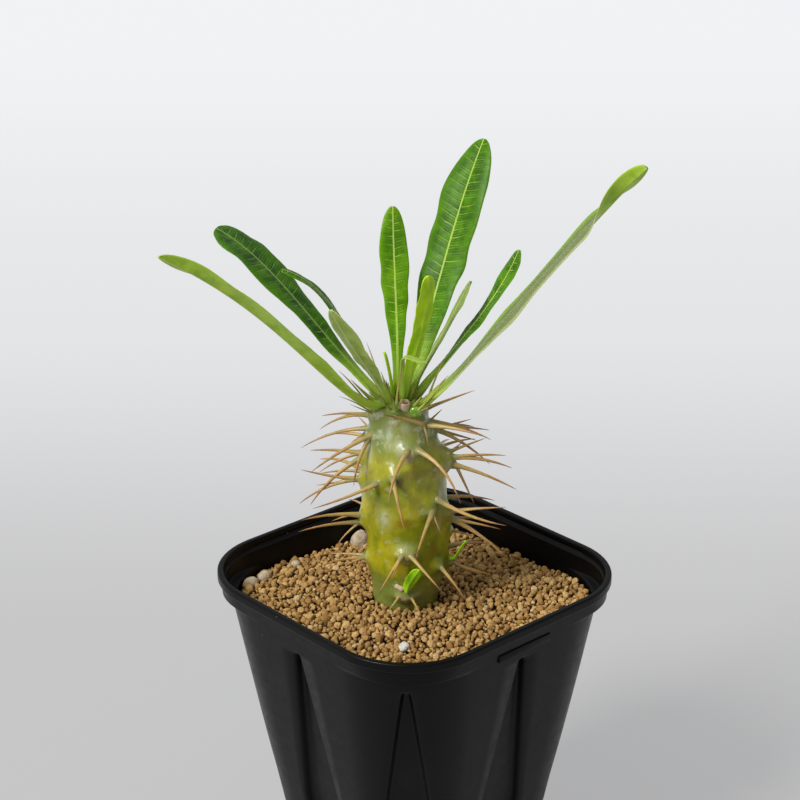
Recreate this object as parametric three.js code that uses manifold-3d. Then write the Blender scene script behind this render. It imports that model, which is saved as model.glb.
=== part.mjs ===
// Potted Pachypodium ambongense: a spiny swollen stem with a crown of leaves,
// rooted in grit in a square, deep plastic nursery pot.
// Millimetres, +Z up. The origin is the centre of the pot's underside, and the
// pot's sides are parallel to X and Y. The plant has a frame of its own: its
// origin is the centre of the pot's rim, and it stands turned in the pot.

import * as THREE from 'three';
import Module from 'manifold-3d';

const wasm = await Module();
wasm.setup();

// Pot: a deep square pot, 90 mm across its rim
const potHeight = 98;
const rimHalfWidth = 45;
const rimCornerRadius = 23.1;
const rimWallWidth = 1.8;
const rimDrop = 2.5;
const potWall = 1.2;
const bodyTopDrop = 15;
const bodyHalfWidth = 41.5;
const bodyTaper = 0.164;
const bodyCornerRadius = 24;
const bodyCornerTaper = 0.085;
const floorThickness = 1.6;
const footHeight = 1;
const footInset = 0.7;
const drainHoleRadius = 4;
const drainHoleOffset = 15;

// Band under the rim: [drop below the rim, half width, corner radius]. A smaller
// corner radius makes the band stand out at the corners and lie flush on the flats.
const bandSections = [
  [0, rimHalfWidth, rimCornerRadius],
  [rimDrop, rimHalfWidth, rimCornerRadius],
  [2.7, 43.6, 20.7],
  [6.8, 42.85, 18.6],
  [7.4, 42.75, 24.65],
];

// Flutes: one tall tapering recess in each side and each corner
const fluteStartDrop = 10.4;
const fluteFullDrop = 12.2;
const fluteDepth = 2.2;
const fluteWidestDrop = 60;
const fluteStartHalfWidth = 1.2;
const fluteWidening = 0.13;
const fluteWallWidth = 0.7;
const cornerArcSteps = 2;

// Bare raised tab on one side, under the rim
const tabWidth = 19;
const tabHeight = 2.2;
const tabDepth = 1.4;
const tabProud = 0.5;
const tabDrop = 7.4;

// Soil: grit of 2 to 4 mm grains, sloping down to the corner at +X +Y
const clearance = 0.35;
const soilDrop = 8.2;
const soilSlope = 0.045;
const soilInset = potWall + 0.3;
const soilTopDrop = 4;
const soilRoll = 0.35;
const grainPitch = 3.8;
const grainRise = 0.9;
const grainDip = 0.75;
const grainJitter = 0.4;
const grainSeed = 11;
const grainFieldHalf = 47;

// Plant: turned about the pot's axis
const plantTurn = -42.18;

// Trunk in the plant's frame: [height above the rim, middle in X, radius]
const trunkProfile = [
  [-24, -2.0, 2.5],
  [-21, -2.0, 5.4],
  [-16, -2.1, 7.6],
  [-11, -2.2, 8.4],
  [-6, -2.1, 9.2],
  [-1.5, -1.8, 10.1],
  [2.5, -1.9, 11.0],
  [12, -1.8, 11.1],
  [20, -2.3, 11.6],
  [24.5, -2.6, 11.5],
  [29.5, -2.6, 11.3],
  [34, -2.3, 11.0],
  [38.7, -3.2, 9.0],
  [40.7, -3.5, 7.9],
  [43, -3.9, 7.0],
  [47, -4.1, 6.8],
  [50, -4.2, 6.6],
  [51.8, -4.2, 5.5],
  [53, -4.2, 3.6],
  [53.5, -4.2, 1.5],
];
const trunkLevels = [
  -24, -21, -15, -9, -5, -1.5, 1.5, 4.5, 7.5, 10.5, 13.5, 16.5, 19.5, 22.5,
  25.5, 28.5, 31.5, 34.5, 37.5, 40, 42.5, 45, 47.5, 50, 51.8, 53, 53.5,
];
const trunkSides = 26;
const crownLevels = [-8, 8, 38, 42, 50, 51.8, 53, 54];
const crownSides = 13;
const trunkLobes = 3;
const trunkLobeRise = 0.18;
const trunkLobeTwist = 0.23;
const holeLevels = [-24.6, -20.6, -15.5, -9, 3];
const holeSides = 16;

// Tubercles: low mounds that carry the spines, lower where the trunk is thin
const tubercleRise = 1.1;
const tubercleSpread = 2.3;
const tubercleOverlap = 1.25;
const fullTubercleRadius = 8;

// Spines: thickness along each, from the sunk root to the tip
const spineRootDepth = 1.8;
const spineSides = 3;
const spineStations = [0.34, 0.7];
const spineRadii = [0.66, 0.42];
const spineRootRadius = 1.3;
const fullSpineLength = 15;
const thinnestSpine = 0.6;

// Tubercles on the trunk's front and flanks, placed by hand: at = [azimuth, height],
// and for each of its spines [heading, pitch, length, bow]. Angles are in degrees, and
// the bow is the rise of the spine's middle as a part of its length.
const tubercles = [
  { at: [181, 45.8], spines: [[181, -1, 12.5, 0.05], [182, -17, 13.5, 0.1]] },
  { at: [176, 41.5], spines: [[176, -19, 19, 0.07]] },
  { at: [171, 40], spines: [[170, -39, 5.5, 0]] },
  { at: [207, 41.5], spines: [[202, -25, 19, 0.04], [213, -68, 14.5, 0.07]] },
  { at: [176, 34.2], spines: [[176, 2, 13.5, 0.03], [176, -28, 12.5, 0.05]] },
  { at: [181, 32.9], spines: [[181, -45, 19, 0.06]] },
  { at: [180, 27], spines: [[180, 10, 15.5, -0.02], [180, -10, 11.5, 0], [180, -25, 17.5, 0.08]] },
  { at: [233, 30], spines: [[203, -12, 18.5, -0.02], [231, -8, 4.7, 0]] },
  { at: [279, 39.2], spines: [[249, -30, 17.5, 0.1]] },
  { at: [255, 32.4], spines: [[280, -24, 17.5, 0.02]] },
  { at: [296, 39.2], spines: [[318, -36, 18.5, 0.13]] },
  { at: [322, 45], spines: [[215, 25, 14, 0.02], [320, -78, 6.7, 0.09]] },
  { at: [332, 44.2], spines: [[333, 0, 16.5, 0.05]] },
  { at: [1, 43.7], spines: [[2, -19, 17.5, 0.05], [0, 46, 5, 0]] },
  { at: [15, 40.5], spines: [[1, -35, 18.5, 0.05], [16, -22, 13, 0], [13, 10, 10.5, 0]] },
  { at: [7, 47.2], spines: [[7, 19, 13.5, 0.01]] },
  { at: [359, 33.3], spines: [[359, 2, 14.5, 0.04], [359, -11, 16.5, 0.06], [358, -66, 15, 0]] },
  { at: [356, 31.6], spines: [[359, -23, 19, 0.03]] },
  { at: [6, 34.4], spines: [[6, 20, 10, 0], [4, 39, 4.5, 0]] },
  { at: [314, 25], spines: [[337, -12, 20, -0.05]] },
  { at: [304, 22], spines: [[249, -31, 15, 0], [304, -49, 6.4, 0]] },
  { at: [344, 18.8], spines: [[344, 12, 15.5, 0.01]] },
  { at: [347, 16.2], spines: [[347, -7, 13.5, 0.01], [347, -34, 18, 0.05]] },
  { at: [357, 11.8], spines: [[358, -17, 6, 0]] },
  { at: [197, 18], spines: [[198, 3, 16.5, 0.05], [171, 1, 3.5, 0]] },
  { at: [193, 15.4], spines: [[192, -4, 17, 0.05], [202, -41, 9.5, 0.07]] },
  { at: [263, 9.7], spines: [[235, -31, 13, 0.01], [246, -26, 8, 0]] },
  { at: [274, 9.8], spines: [[316, -31, 13.5, 0.02]] },
  { at: [170, 3], spines: [[167, -4, 10.5, 0.02]] },
  { at: [198, 5], spines: [[195, -1, 11, 0.05], [204, -18, 8.5, 0.09]] },
  { at: [357, 2], spines: [[358, -19, 11, 0], [348, -17, 8, 0]] },
  { at: [319, 4.2], spines: [[320, -40, 11.5, 0.04]] },
  { at: [258, -3.3], spines: [[242, -13, 8, 0]] },
  { at: [276, -3.4], spines: [[291, -14, 7.7, 0]] },
];

// Crown: spines that stand up among the leaf bases
const crownTubercles = [
  { at: [196, 48.9], spines: [[200, 54, 14.5, 0.03]] },
  { at: [211, 47.8], spines: [[207, 35, 12, 0.04], [223, 32, 9.5, 0]] },
  { at: [180, 48.6], spines: [[180, 44, 7, 0]] },
  { at: [118, 49], spines: [[126, 55, 15, 0.02], [116, 36, 14.5, 0]] },
  { at: [82, 49], spines: [[100, 44, 14.5, 0.04], [60, 50, 15.5, 0.02]] },
  { at: [266, 50], spines: [[342, 82, 14, 0.02]] },
  { at: [355, 49.4], spines: [[12, 68, 14.5, 0.02], [4, 53, 9.6, 0.04]] },
  { at: [300, 48.6], spines: [[350, 52, 15, -0.03], [349, 31, 7.3, 0]] },
];

// Tubercles on the trunk's far side, placed by rule
const rearCount = 15;
const rearLowest = 4;
const rearRise = 2.75;
const rearFirstAzimuth = 24;
const rearSweep = 132;
const rearStep = 0.618;
const rearSpread = [14, 28];
const rearPitch = [-26, 8];
const rearLength = [12, 19];
const rearBow = [0.02, 0.08];
const rearSeed = 5;

// Crown details on the trunk
const budRadius = 1.9;
const budPlace = [-0.4, -5.1, 49.4];
const stubRadius = 1.25;
const stubFoot = [-2.8, -5.4, 48.6];
const stubTop = [-2.3, -5.6, 52.4];
const shootStubRadius = 0.85;
const shootStubFoot = [-4.9, -9.6, -0.2];
const shootStubTop = [-2.9, -10.6, -1.2];
const stubTaper = 0.8;

// Leaves: curve = control points of a cubic curve in the plant's frame; width and the
// place where the blade is widest; fullness = how early it widens (less is earlier); roll
// in degrees and fold = rise of its halves over their reach, both [base, tip] and changing
// past turnsAt; wave = rise of its rippled edge; splits across and along the blade.
const leafThickness = 0.75;
const midribThickness = 1.3;
const petioleShare = 0.2;
const leafFold = [0.16, 0.16];
const leafEdgeDrop = 0.1;
const leafRipples = 18;
const leafRippleShift = 1.7;
const leafLastStation = 0.994;
const leaves = [
  {
    name: 'leaf_01', width: 11, widest: 0.66, fullness: 1.04, roll: [8, 50], wave: 0.3,
    fold: [0.4, 0.53], turnsAt: 0.8, splits: [4, 17],
    curve: [[-8, -3, 49.5], [-19.5, -12.5, 52], [-32, -21, 83.5], [-62.5, -32, 101.5]],
  },
  {
    name: 'leaf_02', width: 11.5, widest: 0.79, fullness: 1.35, roll: [-7, -8], wave: 0.35,
    splits: [4, 14], curve: [[-9, 3, 49.5], [-26, 10, 65.5], [-37.5, 17, 83.5], [-53, 24, 90]],
  },
  {
    name: 'leaf_03', width: 7.8, widest: 0.76, fullness: 1.5, roll: [9, 7], wave: 0.2,
    splits: [2, 11], curve: [[-6.5, -3, 51], [-9.5, -7, 59.5], [-15, -11.5, 67.5], [-21, -16, 81.5]],
  },
  {
    name: 'leaf_04', width: 5.5, widest: 0.78, fullness: 1.2, roll: [-15, -4], wave: 0.2,
    splits: [2, 11], curve: [[-6.5, 0, 51.5], [-17, -1.5, 65.5], [-20, -2.5, 83], [-34, -4, 88]],
  },
  {
    name: 'leaf_05', width: 7.7, widest: 0.72, fullness: 1.9, roll: [0, 4], wave: 0.25,
    splits: [4, 13], curve: [[-4.5, 3, 51], [-3.8, 8.5, 66], [-5.3, 14.5, 80], [-5.4, 20, 97.5]],
  },
  {
    name: 'leaf_06', width: 14, widest: 0.7, fullness: 1.25, roll: [9, -1], wave: 0.4,
    splits: [4, 16], curve: [[-2, 4, 51], [5.8, 12.5, 71], [10.2, 21.5, 92], [19.3, 30, 113]],
  },
  {
    name: 'leaf_07', width: 6.4, widest: 0.75, fullness: 0.95, roll: [-19, -5], wave: 0.2,
    splits: [2, 11], curve: [[-2.5, -1.5, 51.5], [-0.5, -2.5, 65], [4.5, -4.5, 77.5], [3.5, -6, 87]],
  },
  {
    name: 'leaf_08', width: 4.6, widest: 0.81, fullness: 1.4, roll: [-7, 1], wave: 0.15,
    splits: [2, 11], curve: [[-1.5, 1, 51], [3.5, 2, 61], [10, 3, 70], [15, 4, 82]],
  },
  {
    name: 'leaf_09', width: 7.2, widest: 0.88, fullness: 1.6, roll: [-4, 5], wave: 0.25,
    splits: [4, 13], curve: [[0, 1, 50.5], [11, 3.5, 63], [22.7, 5.5, 75.8], [28, 8, 89.1]],
  },
  {
    name: 'leaf_10', width: 13.5, widest: 0.6, fullness: 1.88, roll: [19, -47], wave: 0.3,
    fold: [0.12, 0.61], turnsAt: 0.8, splits: [4, 20],
    curve: [[1.5, -3, 49], [15, -12, 64], [32, -20, 93.5], [56, -31, 123.5]],
  },
  {
    name: 'leaf_11', width: 2.6, widest: 0.78, fullness: 0.8, roll: [0, 0], wave: 0,
    splits: [2, 10], curve: [[-3.2, -3.8, 51], [-3.2, -5.8, 68.5], [-3.8, -6.2, 64.8], [3.4, -6.6, 63.1]],
  },
  {
    name: 'leaf_12', width: 2.2, widest: 0.78, fullness: 0.8, roll: [0, 0], wave: 0,
    splits: [2, 7], curve: [[-5.4, -1.4, 51], [-5.6, -1.4, 55], [-6.6, -1.2, 60], [-7.7, -1, 64.1]],
  },
  {
    name: 'shoot_leaf_front', width: 3.4, widest: 0.7, fullness: 0.6, roll: [-70, -70], wave: 0,
    splits: [2, 8], curve: [[-2.2, -11.6, -1.4], [-1.9, -12.4, 1], [-0.4, -12.6, 3.6], [1.4, -12.6, 5.9]],
  },
  {
    name: 'shoot_leaf_side', width: 1.8, widest: 0.78, fullness: 0.6, roll: [0, 0], wave: 0,
    splits: [2, 8], curve: [[9.3, -3.1, 4.8], [11.1, -3.9, 3.8], [11.4, -4.2, 6.4], [14.1, -5, 10.8]],
  },
];

// Pumice pebbles lying half sunk in the grit: [x, y, radius x, radius y, radius z]
const pebbleDent = [0.86, 1.06];
const pebbleLift = 0.4;
const pebbles = [
  [-28.4, 36.2, 2.4, 1.9, 1.6],
  [-23.2, 36.6, 2.1, 1.9, 1.6],
  [-11.5, 37.0, 1.4, 1.4, 1.3],
  [-22.6, -20.7, 1.6, 1.5, 1.4],
  [13.0, 37.2, 3.3, 2.6, 3.0],
];
const pebbleSeed = 3;

// Colours and finishes
const finishes = {
  pot: { color: 0x16181b, roughness: 0.42, metalness: 0 },
  soil: { color: 0xb08a5e, roughness: 0.95, metalness: 0 },
  trunk: { color: 0x7d8438, roughness: 0.4, metalness: 0 },
  pumice: { color: 0xe4ddd0, roughness: 0.9, metalness: 0 },
  leaf: { color: 0x3f8f22, roughness: 0.45, metalness: 0 },
};

// Repeatable random numbers in [0, 1)
function randomFrom(seed) {
  let state = seed >>> 0;
  return () => {
    state = (state * 1664525 + 1013904223) >>> 0;
    return state / 4294967296;
  };
}

function between(random, [low, high]) {
  return THREE.MathUtils.lerp(low, high, random());
}

function interpolate(table, x, column) {
  if (x <= table[0][0]) return table[0][column];
  for (let i = 1; i < table.length; i += 1) {
    const [x0, x1] = [table[i - 1][0], table[i][0]];
    if (x <= x1) {
      const share = (x - x0) / (x1 - x0);
      return table[i - 1][column] * (1 - share) + table[i][column] * share;
    }
  }
  return table[table.length - 1][column];
}

const radians = THREE.MathUtils.degToRad;

function direction(heading, pitch) {
  const flat = Math.cos(radians(pitch));
  return new THREE.Vector3(
    flat * Math.cos(radians(heading)),
    flat * Math.sin(radians(heading)),
    Math.sin(radians(pitch)),
  );
}

// Closed solid from points and triangles, turned to face out
function solidFrom(points, triangles) {
  const vertices = new Float32Array(points.flatMap((p) => [p.x, p.y, p.z]));
  let volume = 0;
  const [a, b, c] = [new THREE.Vector3(), new THREE.Vector3(), new THREE.Vector3()];
  for (const [i, j, k] of triangles) {
    a.copy(points[i]);
    b.copy(points[j]);
    c.copy(points[k]);
    volume += a.dot(b.cross(c));
  }
  const facingOut = volume > 0 ? triangles : triangles.map(([i, j, k]) => [i, k, j]);
  const mesh = new wasm.Mesh({
    numProp: 3,
    vertProperties: vertices,
    triVerts: new Uint32Array(facingOut.flat()),
  });
  return new wasm.Manifold(mesh);
}

// Skin over a stack of closed rings with equal counts, closed by a flat fan at each end.
// Each wall panel is split the same way, whether the stack rises or falls.
function loft(rings) {
  const points = rings.flat();
  const triangles = [];
  const count = rings[0].length;
  for (let r = 0; r + 1 < rings.length; r += 1) {
    const rising = rings[r + 1][0].z > rings[r][0].z;
    for (let i = 0; i < count; i += 1) {
      const next = (i + 1) % count;
      const [p, q] = [r * count + i, r * count + next];
      if (rising) {
        triangles.push([p, q, q + count], [p, q + count, p + count]);
      } else {
        triangles.push([p, q, p + count], [q, q + count, p + count]);
      }
    }
  }
  const closeEnd = (ring, start, flip) => {
    const middle = new THREE.Vector3();
    ring.forEach((p) => middle.addScaledVector(p, 1 / ring.length));
    points.push(middle);
    for (let i = 0; i < count; i += 1) {
      const [p, q] = [start + i, start + ((i + 1) % count)];
      triangles.push(flip ? [points.length - 1, q, p] : [points.length - 1, p, q]);
    }
  };
  closeEnd(rings[0], 0, true);
  closeEnd(rings[rings.length - 1], (rings.length - 1) * count, false);
  return solidFrom(points, triangles);
}

// Solid of a closed three.js geometry, its corners joined by position
function solidOf(geometry) {
  const position = geometry.getAttribute('position');
  const index = geometry.getIndex();
  const corners = new Map();
  const points = [];
  const cornerOf = (i) => {
    const p = new THREE.Vector3().fromBufferAttribute(position, i);
    const key = [p.x, p.y, p.z].map((value) => Math.round(value * 1e4)).join();
    if (!corners.has(key)) {
      corners.set(key, points.length);
      points.push(p);
    }
    return corners.get(key);
  };
  const count = index ? index.count : position.count;
  const triangles = [];
  for (let i = 0; i < count; i += 3) {
    const corner = [0, 1, 2].map((k) => cornerOf(index ? index.getX(i + k) : i + k));
    if (new Set(corner).size === 3) triangles.push(corner);
  }
  return solidFrom(points, triangles);
}

function meshOf(name, solid, finish) {
  const { vertProperties, triVerts } = solid.getMesh();
  const geometry = new THREE.BufferGeometry();
  geometry.setAttribute('position', new THREE.BufferAttribute(vertProperties, 3));
  geometry.setIndex(new THREE.BufferAttribute(triVerts, 1));
  geometry.computeVertexNormals();
  const mesh = new THREE.Mesh(geometry, new THREE.MeshStandardMaterial(finish));
  mesh.name = name;
  return mesh;
}

// Pot

function potSection(drop) {
  if (drop <= bandSections[bandSections.length - 1][0]) {
    return { half: interpolate(bandSections, drop, 1), radius: interpolate(bandSections, drop, 2) };
  }
  const below = drop - bodyTopDrop;
  return {
    half: bodyHalfWidth - bodyTaper * below,
    radius: bodyCornerRadius - bodyCornerTaper * below,
  };
}

// Outline of the pot at a drop below the rim, moved in by an inset, as points at one height
function potOutline(drop, inset) {
  const section = potSection(drop);
  const half = section.half - inset;
  const radius = section.radius - inset;
  const ramp = (drop - fluteStartDrop) / (fluteFullDrop - fluteStartDrop);
  const depth = fluteDepth * THREE.MathUtils.clamp(ramp, 0, 1);
  const flutedDrop = THREE.MathUtils.clamp(drop, fluteStartDrop, fluteWidestDrop) - fluteStartDrop;
  const widening = fluteWidening * flutedDrop;
  const fluteHalf = fluteStartHalfWidth + widening + inset * 0.9;
  const straight = half - radius;
  const floorHalf = fluteHalf - fluteWallWidth;
  const side = [
    [-fluteHalf, -half],
    [-floorHalf, -half + depth],
    [floorHalf, -half + depth],
    [fluteHalf, -half],
    [straight, -half],
  ];
  const arcPoint = (angle, r) => [straight + r * Math.cos(angle), -straight + r * Math.sin(angle)];
  const edgeAngle = fluteHalf / radius;
  const floorAngle = floorHalf / radius;
  const middle = -Math.PI / 4;
  for (let i = 1; i < cornerArcSteps; i += 1) {
    const angle = THREE.MathUtils.lerp(-Math.PI / 2, middle - edgeAngle, i / cornerArcSteps);
    side.push(arcPoint(angle, radius));
  }
  side.push(arcPoint(middle - edgeAngle, radius));
  side.push(arcPoint(middle - floorAngle, radius - depth));
  side.push(arcPoint(middle + floorAngle, radius - depth));
  side.push(arcPoint(middle + edgeAngle, radius));
  for (let i = 1; i < cornerArcSteps; i += 1) {
    const angle = THREE.MathUtils.lerp(middle + edgeAngle, 0, i / cornerArcSteps);
    side.push(arcPoint(angle, radius));
  }
  side.push([half, -straight]);
  const z = potHeight - drop;
  const quarters = [[1, 0], [0, 1], [-1, 0], [0, -1]];
  return quarters.flatMap(([c, s]) => (
    side.map(([x, y]) => new THREE.Vector3(c * x - s * y, s * x + c * y, z))
  ));
}

const bandDrops = bandSections.map(([drop]) => drop).slice(1);

function makePot() {
  const outer = [
    potOutline(potHeight, footInset),
    potOutline(potHeight - footHeight, 0),
    ...[fluteWidestDrop, fluteFullDrop, fluteStartDrop].map((drop) => potOutline(drop, 0)),
    ...bandDrops.map((drop) => potOutline(drop, 0)).reverse(),
    potOutline(0, 0),
  ];
  const innerDrops = [...bandDrops.slice(1), fluteStartDrop, fluteFullDrop, fluteWidestDrop];
  const inner = [
    potOutline(0, rimWallWidth),
    ...innerDrops.map((drop) => potOutline(drop, potWall)),
    potOutline(potHeight - floorThickness, potWall),
  ];
  let pot = loft([...outer, ...inner]);
  for (const [x, y] of [[1, 1], [-1, 1], [-1, -1], [1, -1]]) {
    const hole = new THREE.CylinderGeometry(drainHoleRadius, drainHoleRadius, 3 * floorThickness, 12);
    hole.rotateX(Math.PI / 2);
    hole.translate(x * drainHoleOffset, y * drainHoleOffset, 0);
    pot = pot.subtract(solidOf(hole));
  }
  const tab = new THREE.BoxGeometry(tabWidth, tabDepth, tabHeight);
  const faceY = -potSection(tabDrop).half;
  tab.translate(0, faceY - tabProud + tabDepth / 2, potHeight - tabDrop);
  return pot.add(solidOf(tab));
}

// Trunk

function trunkBump(azimuth, height, radius) {
  let bump = 0;
  for (const { at } of allTubercles) {
    const turn = ((azimuth - at[0] + 540) % 360) - 180;
    const across = radians(turn) * radius;
    const up = height - at[1];
    bump += Math.exp(-(across * across + up * up) / (tubercleSpread * tubercleSpread));
  }
  return tubercleRise * Math.min(bump, tubercleOverlap);
}

function trunkPoint(azimuth, height, extra) {
  const radius = interpolate(trunkProfile, height, 2);
  const angle = radians(azimuth);
  const lobe = trunkLobeRise * Math.sin(trunkLobes * angle + trunkLobeTwist * height);
  const share = Math.min(radius / fullTubercleRadius, 1);
  const reach = radius + share * (lobe + trunkBump(azimuth, height, radius)) + extra;
  const middle = interpolate(trunkProfile, height, 1);
  return new THREE.Vector3(middle + reach * Math.cos(angle), reach * Math.sin(angle), height);
}

function trunkRing(height, extra, sides) {
  const ring = [];
  for (let i = 0; i < sides; i += 1) {
    ring.push(trunkPoint((i * 360) / sides, height, extra));
  }
  return ring;
}

function ringAround(centre, tangent, radius, sides) {
  const helper = Math.abs(tangent.z) > 0.9 ? new THREE.Vector3(1, 0, 0) : new THREE.Vector3(0, 0, 1);
  const u = helper.clone().cross(tangent).normalize();
  const v = tangent.clone().cross(u);
  const ring = [];
  for (let i = 0; i < sides; i += 1) {
    const angle = (2 * Math.PI * i) / sides;
    const point = centre.clone();
    point.addScaledVector(u, radius * Math.cos(angle));
    point.addScaledVector(v, radius * Math.sin(angle));
    ring.push(point);
  }
  return ring;
}

// Tapered, bowed horn whose root is sunk in the trunk
function makeSpine(foot, outward, [heading, pitch, length, bow]) {
  const along = direction(heading, pitch);
  const lift = new THREE.Vector3(0, 0, 1);
  lift.addScaledVector(along, -along.z).normalize();
  const place = (t) => {
    const point = foot.clone().addScaledVector(along, length * t);
    return point.addScaledVector(lift, bow * length * 4 * t * (1 - t));
  };
  const root = foot.clone().addScaledVector(outward, -spineRootDepth);
  const rings = [ringAround(root, along, spineRootRadius, spineSides)];
  const thickness = THREE.MathUtils.clamp(length / fullSpineLength, thinnestSpine, 1);
  spineStations.forEach((t, i) => {
    rings.push(ringAround(place(t), along, spineRadii[i] * thickness, spineSides));
  });
  const points = [...rings.flat(), place(1), root];
  const [tip, base] = [points.length - 2, points.length - 1];
  const triangles = [];
  for (let i = 0; i < spineSides; i += 1) {
    const next = (i + 1) % spineSides;
    for (let r = 0; r + 1 < rings.length; r += 1) {
      const [p, q] = [r * spineSides + i, r * spineSides + next];
      triangles.push([p, q, q + spineSides], [p, q + spineSides, p + spineSides]);
    }
    const last = (rings.length - 1) * spineSides;
    triangles.push([last + i, last + next, tip], [next, i, base]);
  }
  return solidFrom(points, triangles);
}

function rearTubercles() {
  const random = randomFrom(rearSeed);
  const list = [];
  for (let i = 0; i < rearCount; i += 1) {
    const azimuth = rearFirstAzimuth + rearSweep * ((i * rearStep) % 1);
    const spines = [-1, 1].map((hand) => [
      azimuth + hand * between(random, rearSpread),
      between(random, rearPitch),
      between(random, rearLength),
      between(random, rearBow),
    ]);
    list.push({ at: [azimuth, rearLowest + rearRise * i], spines });
  }
  return list;
}

function makeStub(foot, top, radius, sides) {
  const from = new THREE.Vector3(...foot);
  const to = new THREE.Vector3(...top);
  const along = to.clone().sub(from).normalize();
  const lower = ringAround(from, along, radius, sides);
  return loft([lower, ringAround(to, along, radius * stubTaper, sides)]);
}

const sideTubercles = [...tubercles, ...rearTubercles()];
const allTubercles = [...sideTubercles, ...crownTubercles];

function makeTrunk() {
  let trunk = loft(trunkLevels.map((height) => trunkRing(height, 0, trunkSides)));
  for (const { at, spines } of allTubercles) {
    const foot = trunkPoint(at[0], at[1], 0);
    const outward = direction(at[0], 0);
    for (const spine of spines) {
      trunk = trunk.add(makeSpine(foot, outward, spine));
    }
  }
  const bud = new THREE.IcosahedronGeometry(budRadius, 1).translate(...budPlace);
  trunk = trunk.add(solidOf(bud));
  trunk = trunk.add(makeStub(stubFoot, stubTop, stubRadius, 6));
  return trunk.add(makeStub(shootStubFoot, shootStubTop, shootStubRadius, 5));
}

// Leaves

// Share of the full width at t along the leaf
function bladeShape(t, widest, fullness) {
  const rise = Math.sin((Math.PI / 2) * Math.min(t / widest, 1)) ** fullness;
  const past = Math.max(0, (t - widest) / (1 - widest));
  return (petioleShare + (1 - petioleShare) * rise) * Math.sqrt(1 - past ** 2.6);
}

// Blade as a grid of points across and along, the same above and below
function makeLeaf(leaf) {
  const { width, widest, fullness, roll, fold = leafFold, turnsAt = 0, wave, splits } = leaf;
  const [across, along] = splits;
  const path = new THREE.CubicBezierCurve3(...leaf.curve.map((p) => new THREE.Vector3(...p)));
  const heading = path.getPoint(1).sub(path.getPoint(0)).setZ(0).normalize();
  const flatSide = new THREE.Vector3(-heading.y, heading.x, 0);
  const points = [];
  for (let i = 0; i <= along; i += 1) {
    const t = leafLastStation * Math.sin((Math.PI / 2) * (i / along));
    const centre = path.getPoint(t);
    const tangent = path.getTangent(t);
    const side = flatSide.clone().addScaledVector(tangent, -flatSide.dot(tangent)).normalize();
    const up = tangent.clone().cross(side);
    const turned = THREE.MathUtils.smoothstep(t, turnsAt, 1);
    const angle = radians(THREE.MathUtils.lerp(roll[0], roll[1], turned));
    const blade = side.clone().multiplyScalar(Math.cos(angle)).addScaledVector(up, Math.sin(angle));
    const normal = up.clone().multiplyScalar(Math.cos(angle)).addScaledVector(side, -Math.sin(angle));
    const slope = Math.atan(THREE.MathUtils.lerp(fold[0], fold[1], turned));
    const half = (width / 2) * bladeShape(t, widest, fullness);
    for (const face of [1, -1]) {
      for (let j = 0; j <= across; j += 1) {
        const v = (2 * j) / across - 1;
        const open = Math.abs(v);
        const thick = THREE.MathUtils.lerp(midribThickness, leafThickness, open);
        const ripple = wave * v * v * Math.sin(leafRipples * t + (v > 0 ? 0 : leafRippleShift));
        const bend = half * (Math.sin(slope) * open - leafEdgeDrop * open ** 3) + ripple;
        const point = centre.clone().addScaledVector(blade, v * half * Math.cos(slope));
        points.push(point.addScaledVector(normal, bend + (face * thick) / 2));
      }
    }
  }
  const columns = across + 1;
  const row = 2 * columns;
  const triangles = [];
  for (let i = 0; i < along; i += 1) {
    for (let j = 0; j < across; j += 1) {
      const p = i * row + j;
      triangles.push([p, p + row, p + row + 1], [p, p + row + 1, p + 1]);
      const q = p + columns;
      triangles.push([q, q + row + 1, q + row], [q, q + 1, q + row + 1]);
    }
    for (const [top, flip] of [[0, false], [across, true]]) {
      const [p, q] = [i * row + top, i * row + top + columns];
      const strip = [[p, q, q + row], [p, q + row, p + row]];
      triangles.push(...strip.map(([a, b, c]) => (flip ? [a, c, b] : [a, b, c])));
    }
  }
  for (const [start, flip] of [[0, false], [along * row, true]]) {
    for (let j = 0; j < across; j += 1) {
      const [p, q] = [start + j, start + j + columns];
      const strip = [[p, p + 1, q + 1], [p, q + 1, q]];
      triangles.push(...strip.map(([a, b, c]) => (flip ? [a, c, b] : [a, b, c])));
    }
  }
  return solidFrom(points, triangles);
}

function largestPiece(solid) {
  const pieces = solid.decompose();
  return pieces.reduce((best, piece) => (piece.volume() > best.volume() ? piece : best));
}

// Soil

function soilLevel(x, y) {
  const slope = soilSlope * Math.max(0, x + y);
  return potHeight - soilDrop - slope + soilRoll * Math.sin(0.16 * x + 1) * Math.sin(0.14 * y);
}

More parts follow.
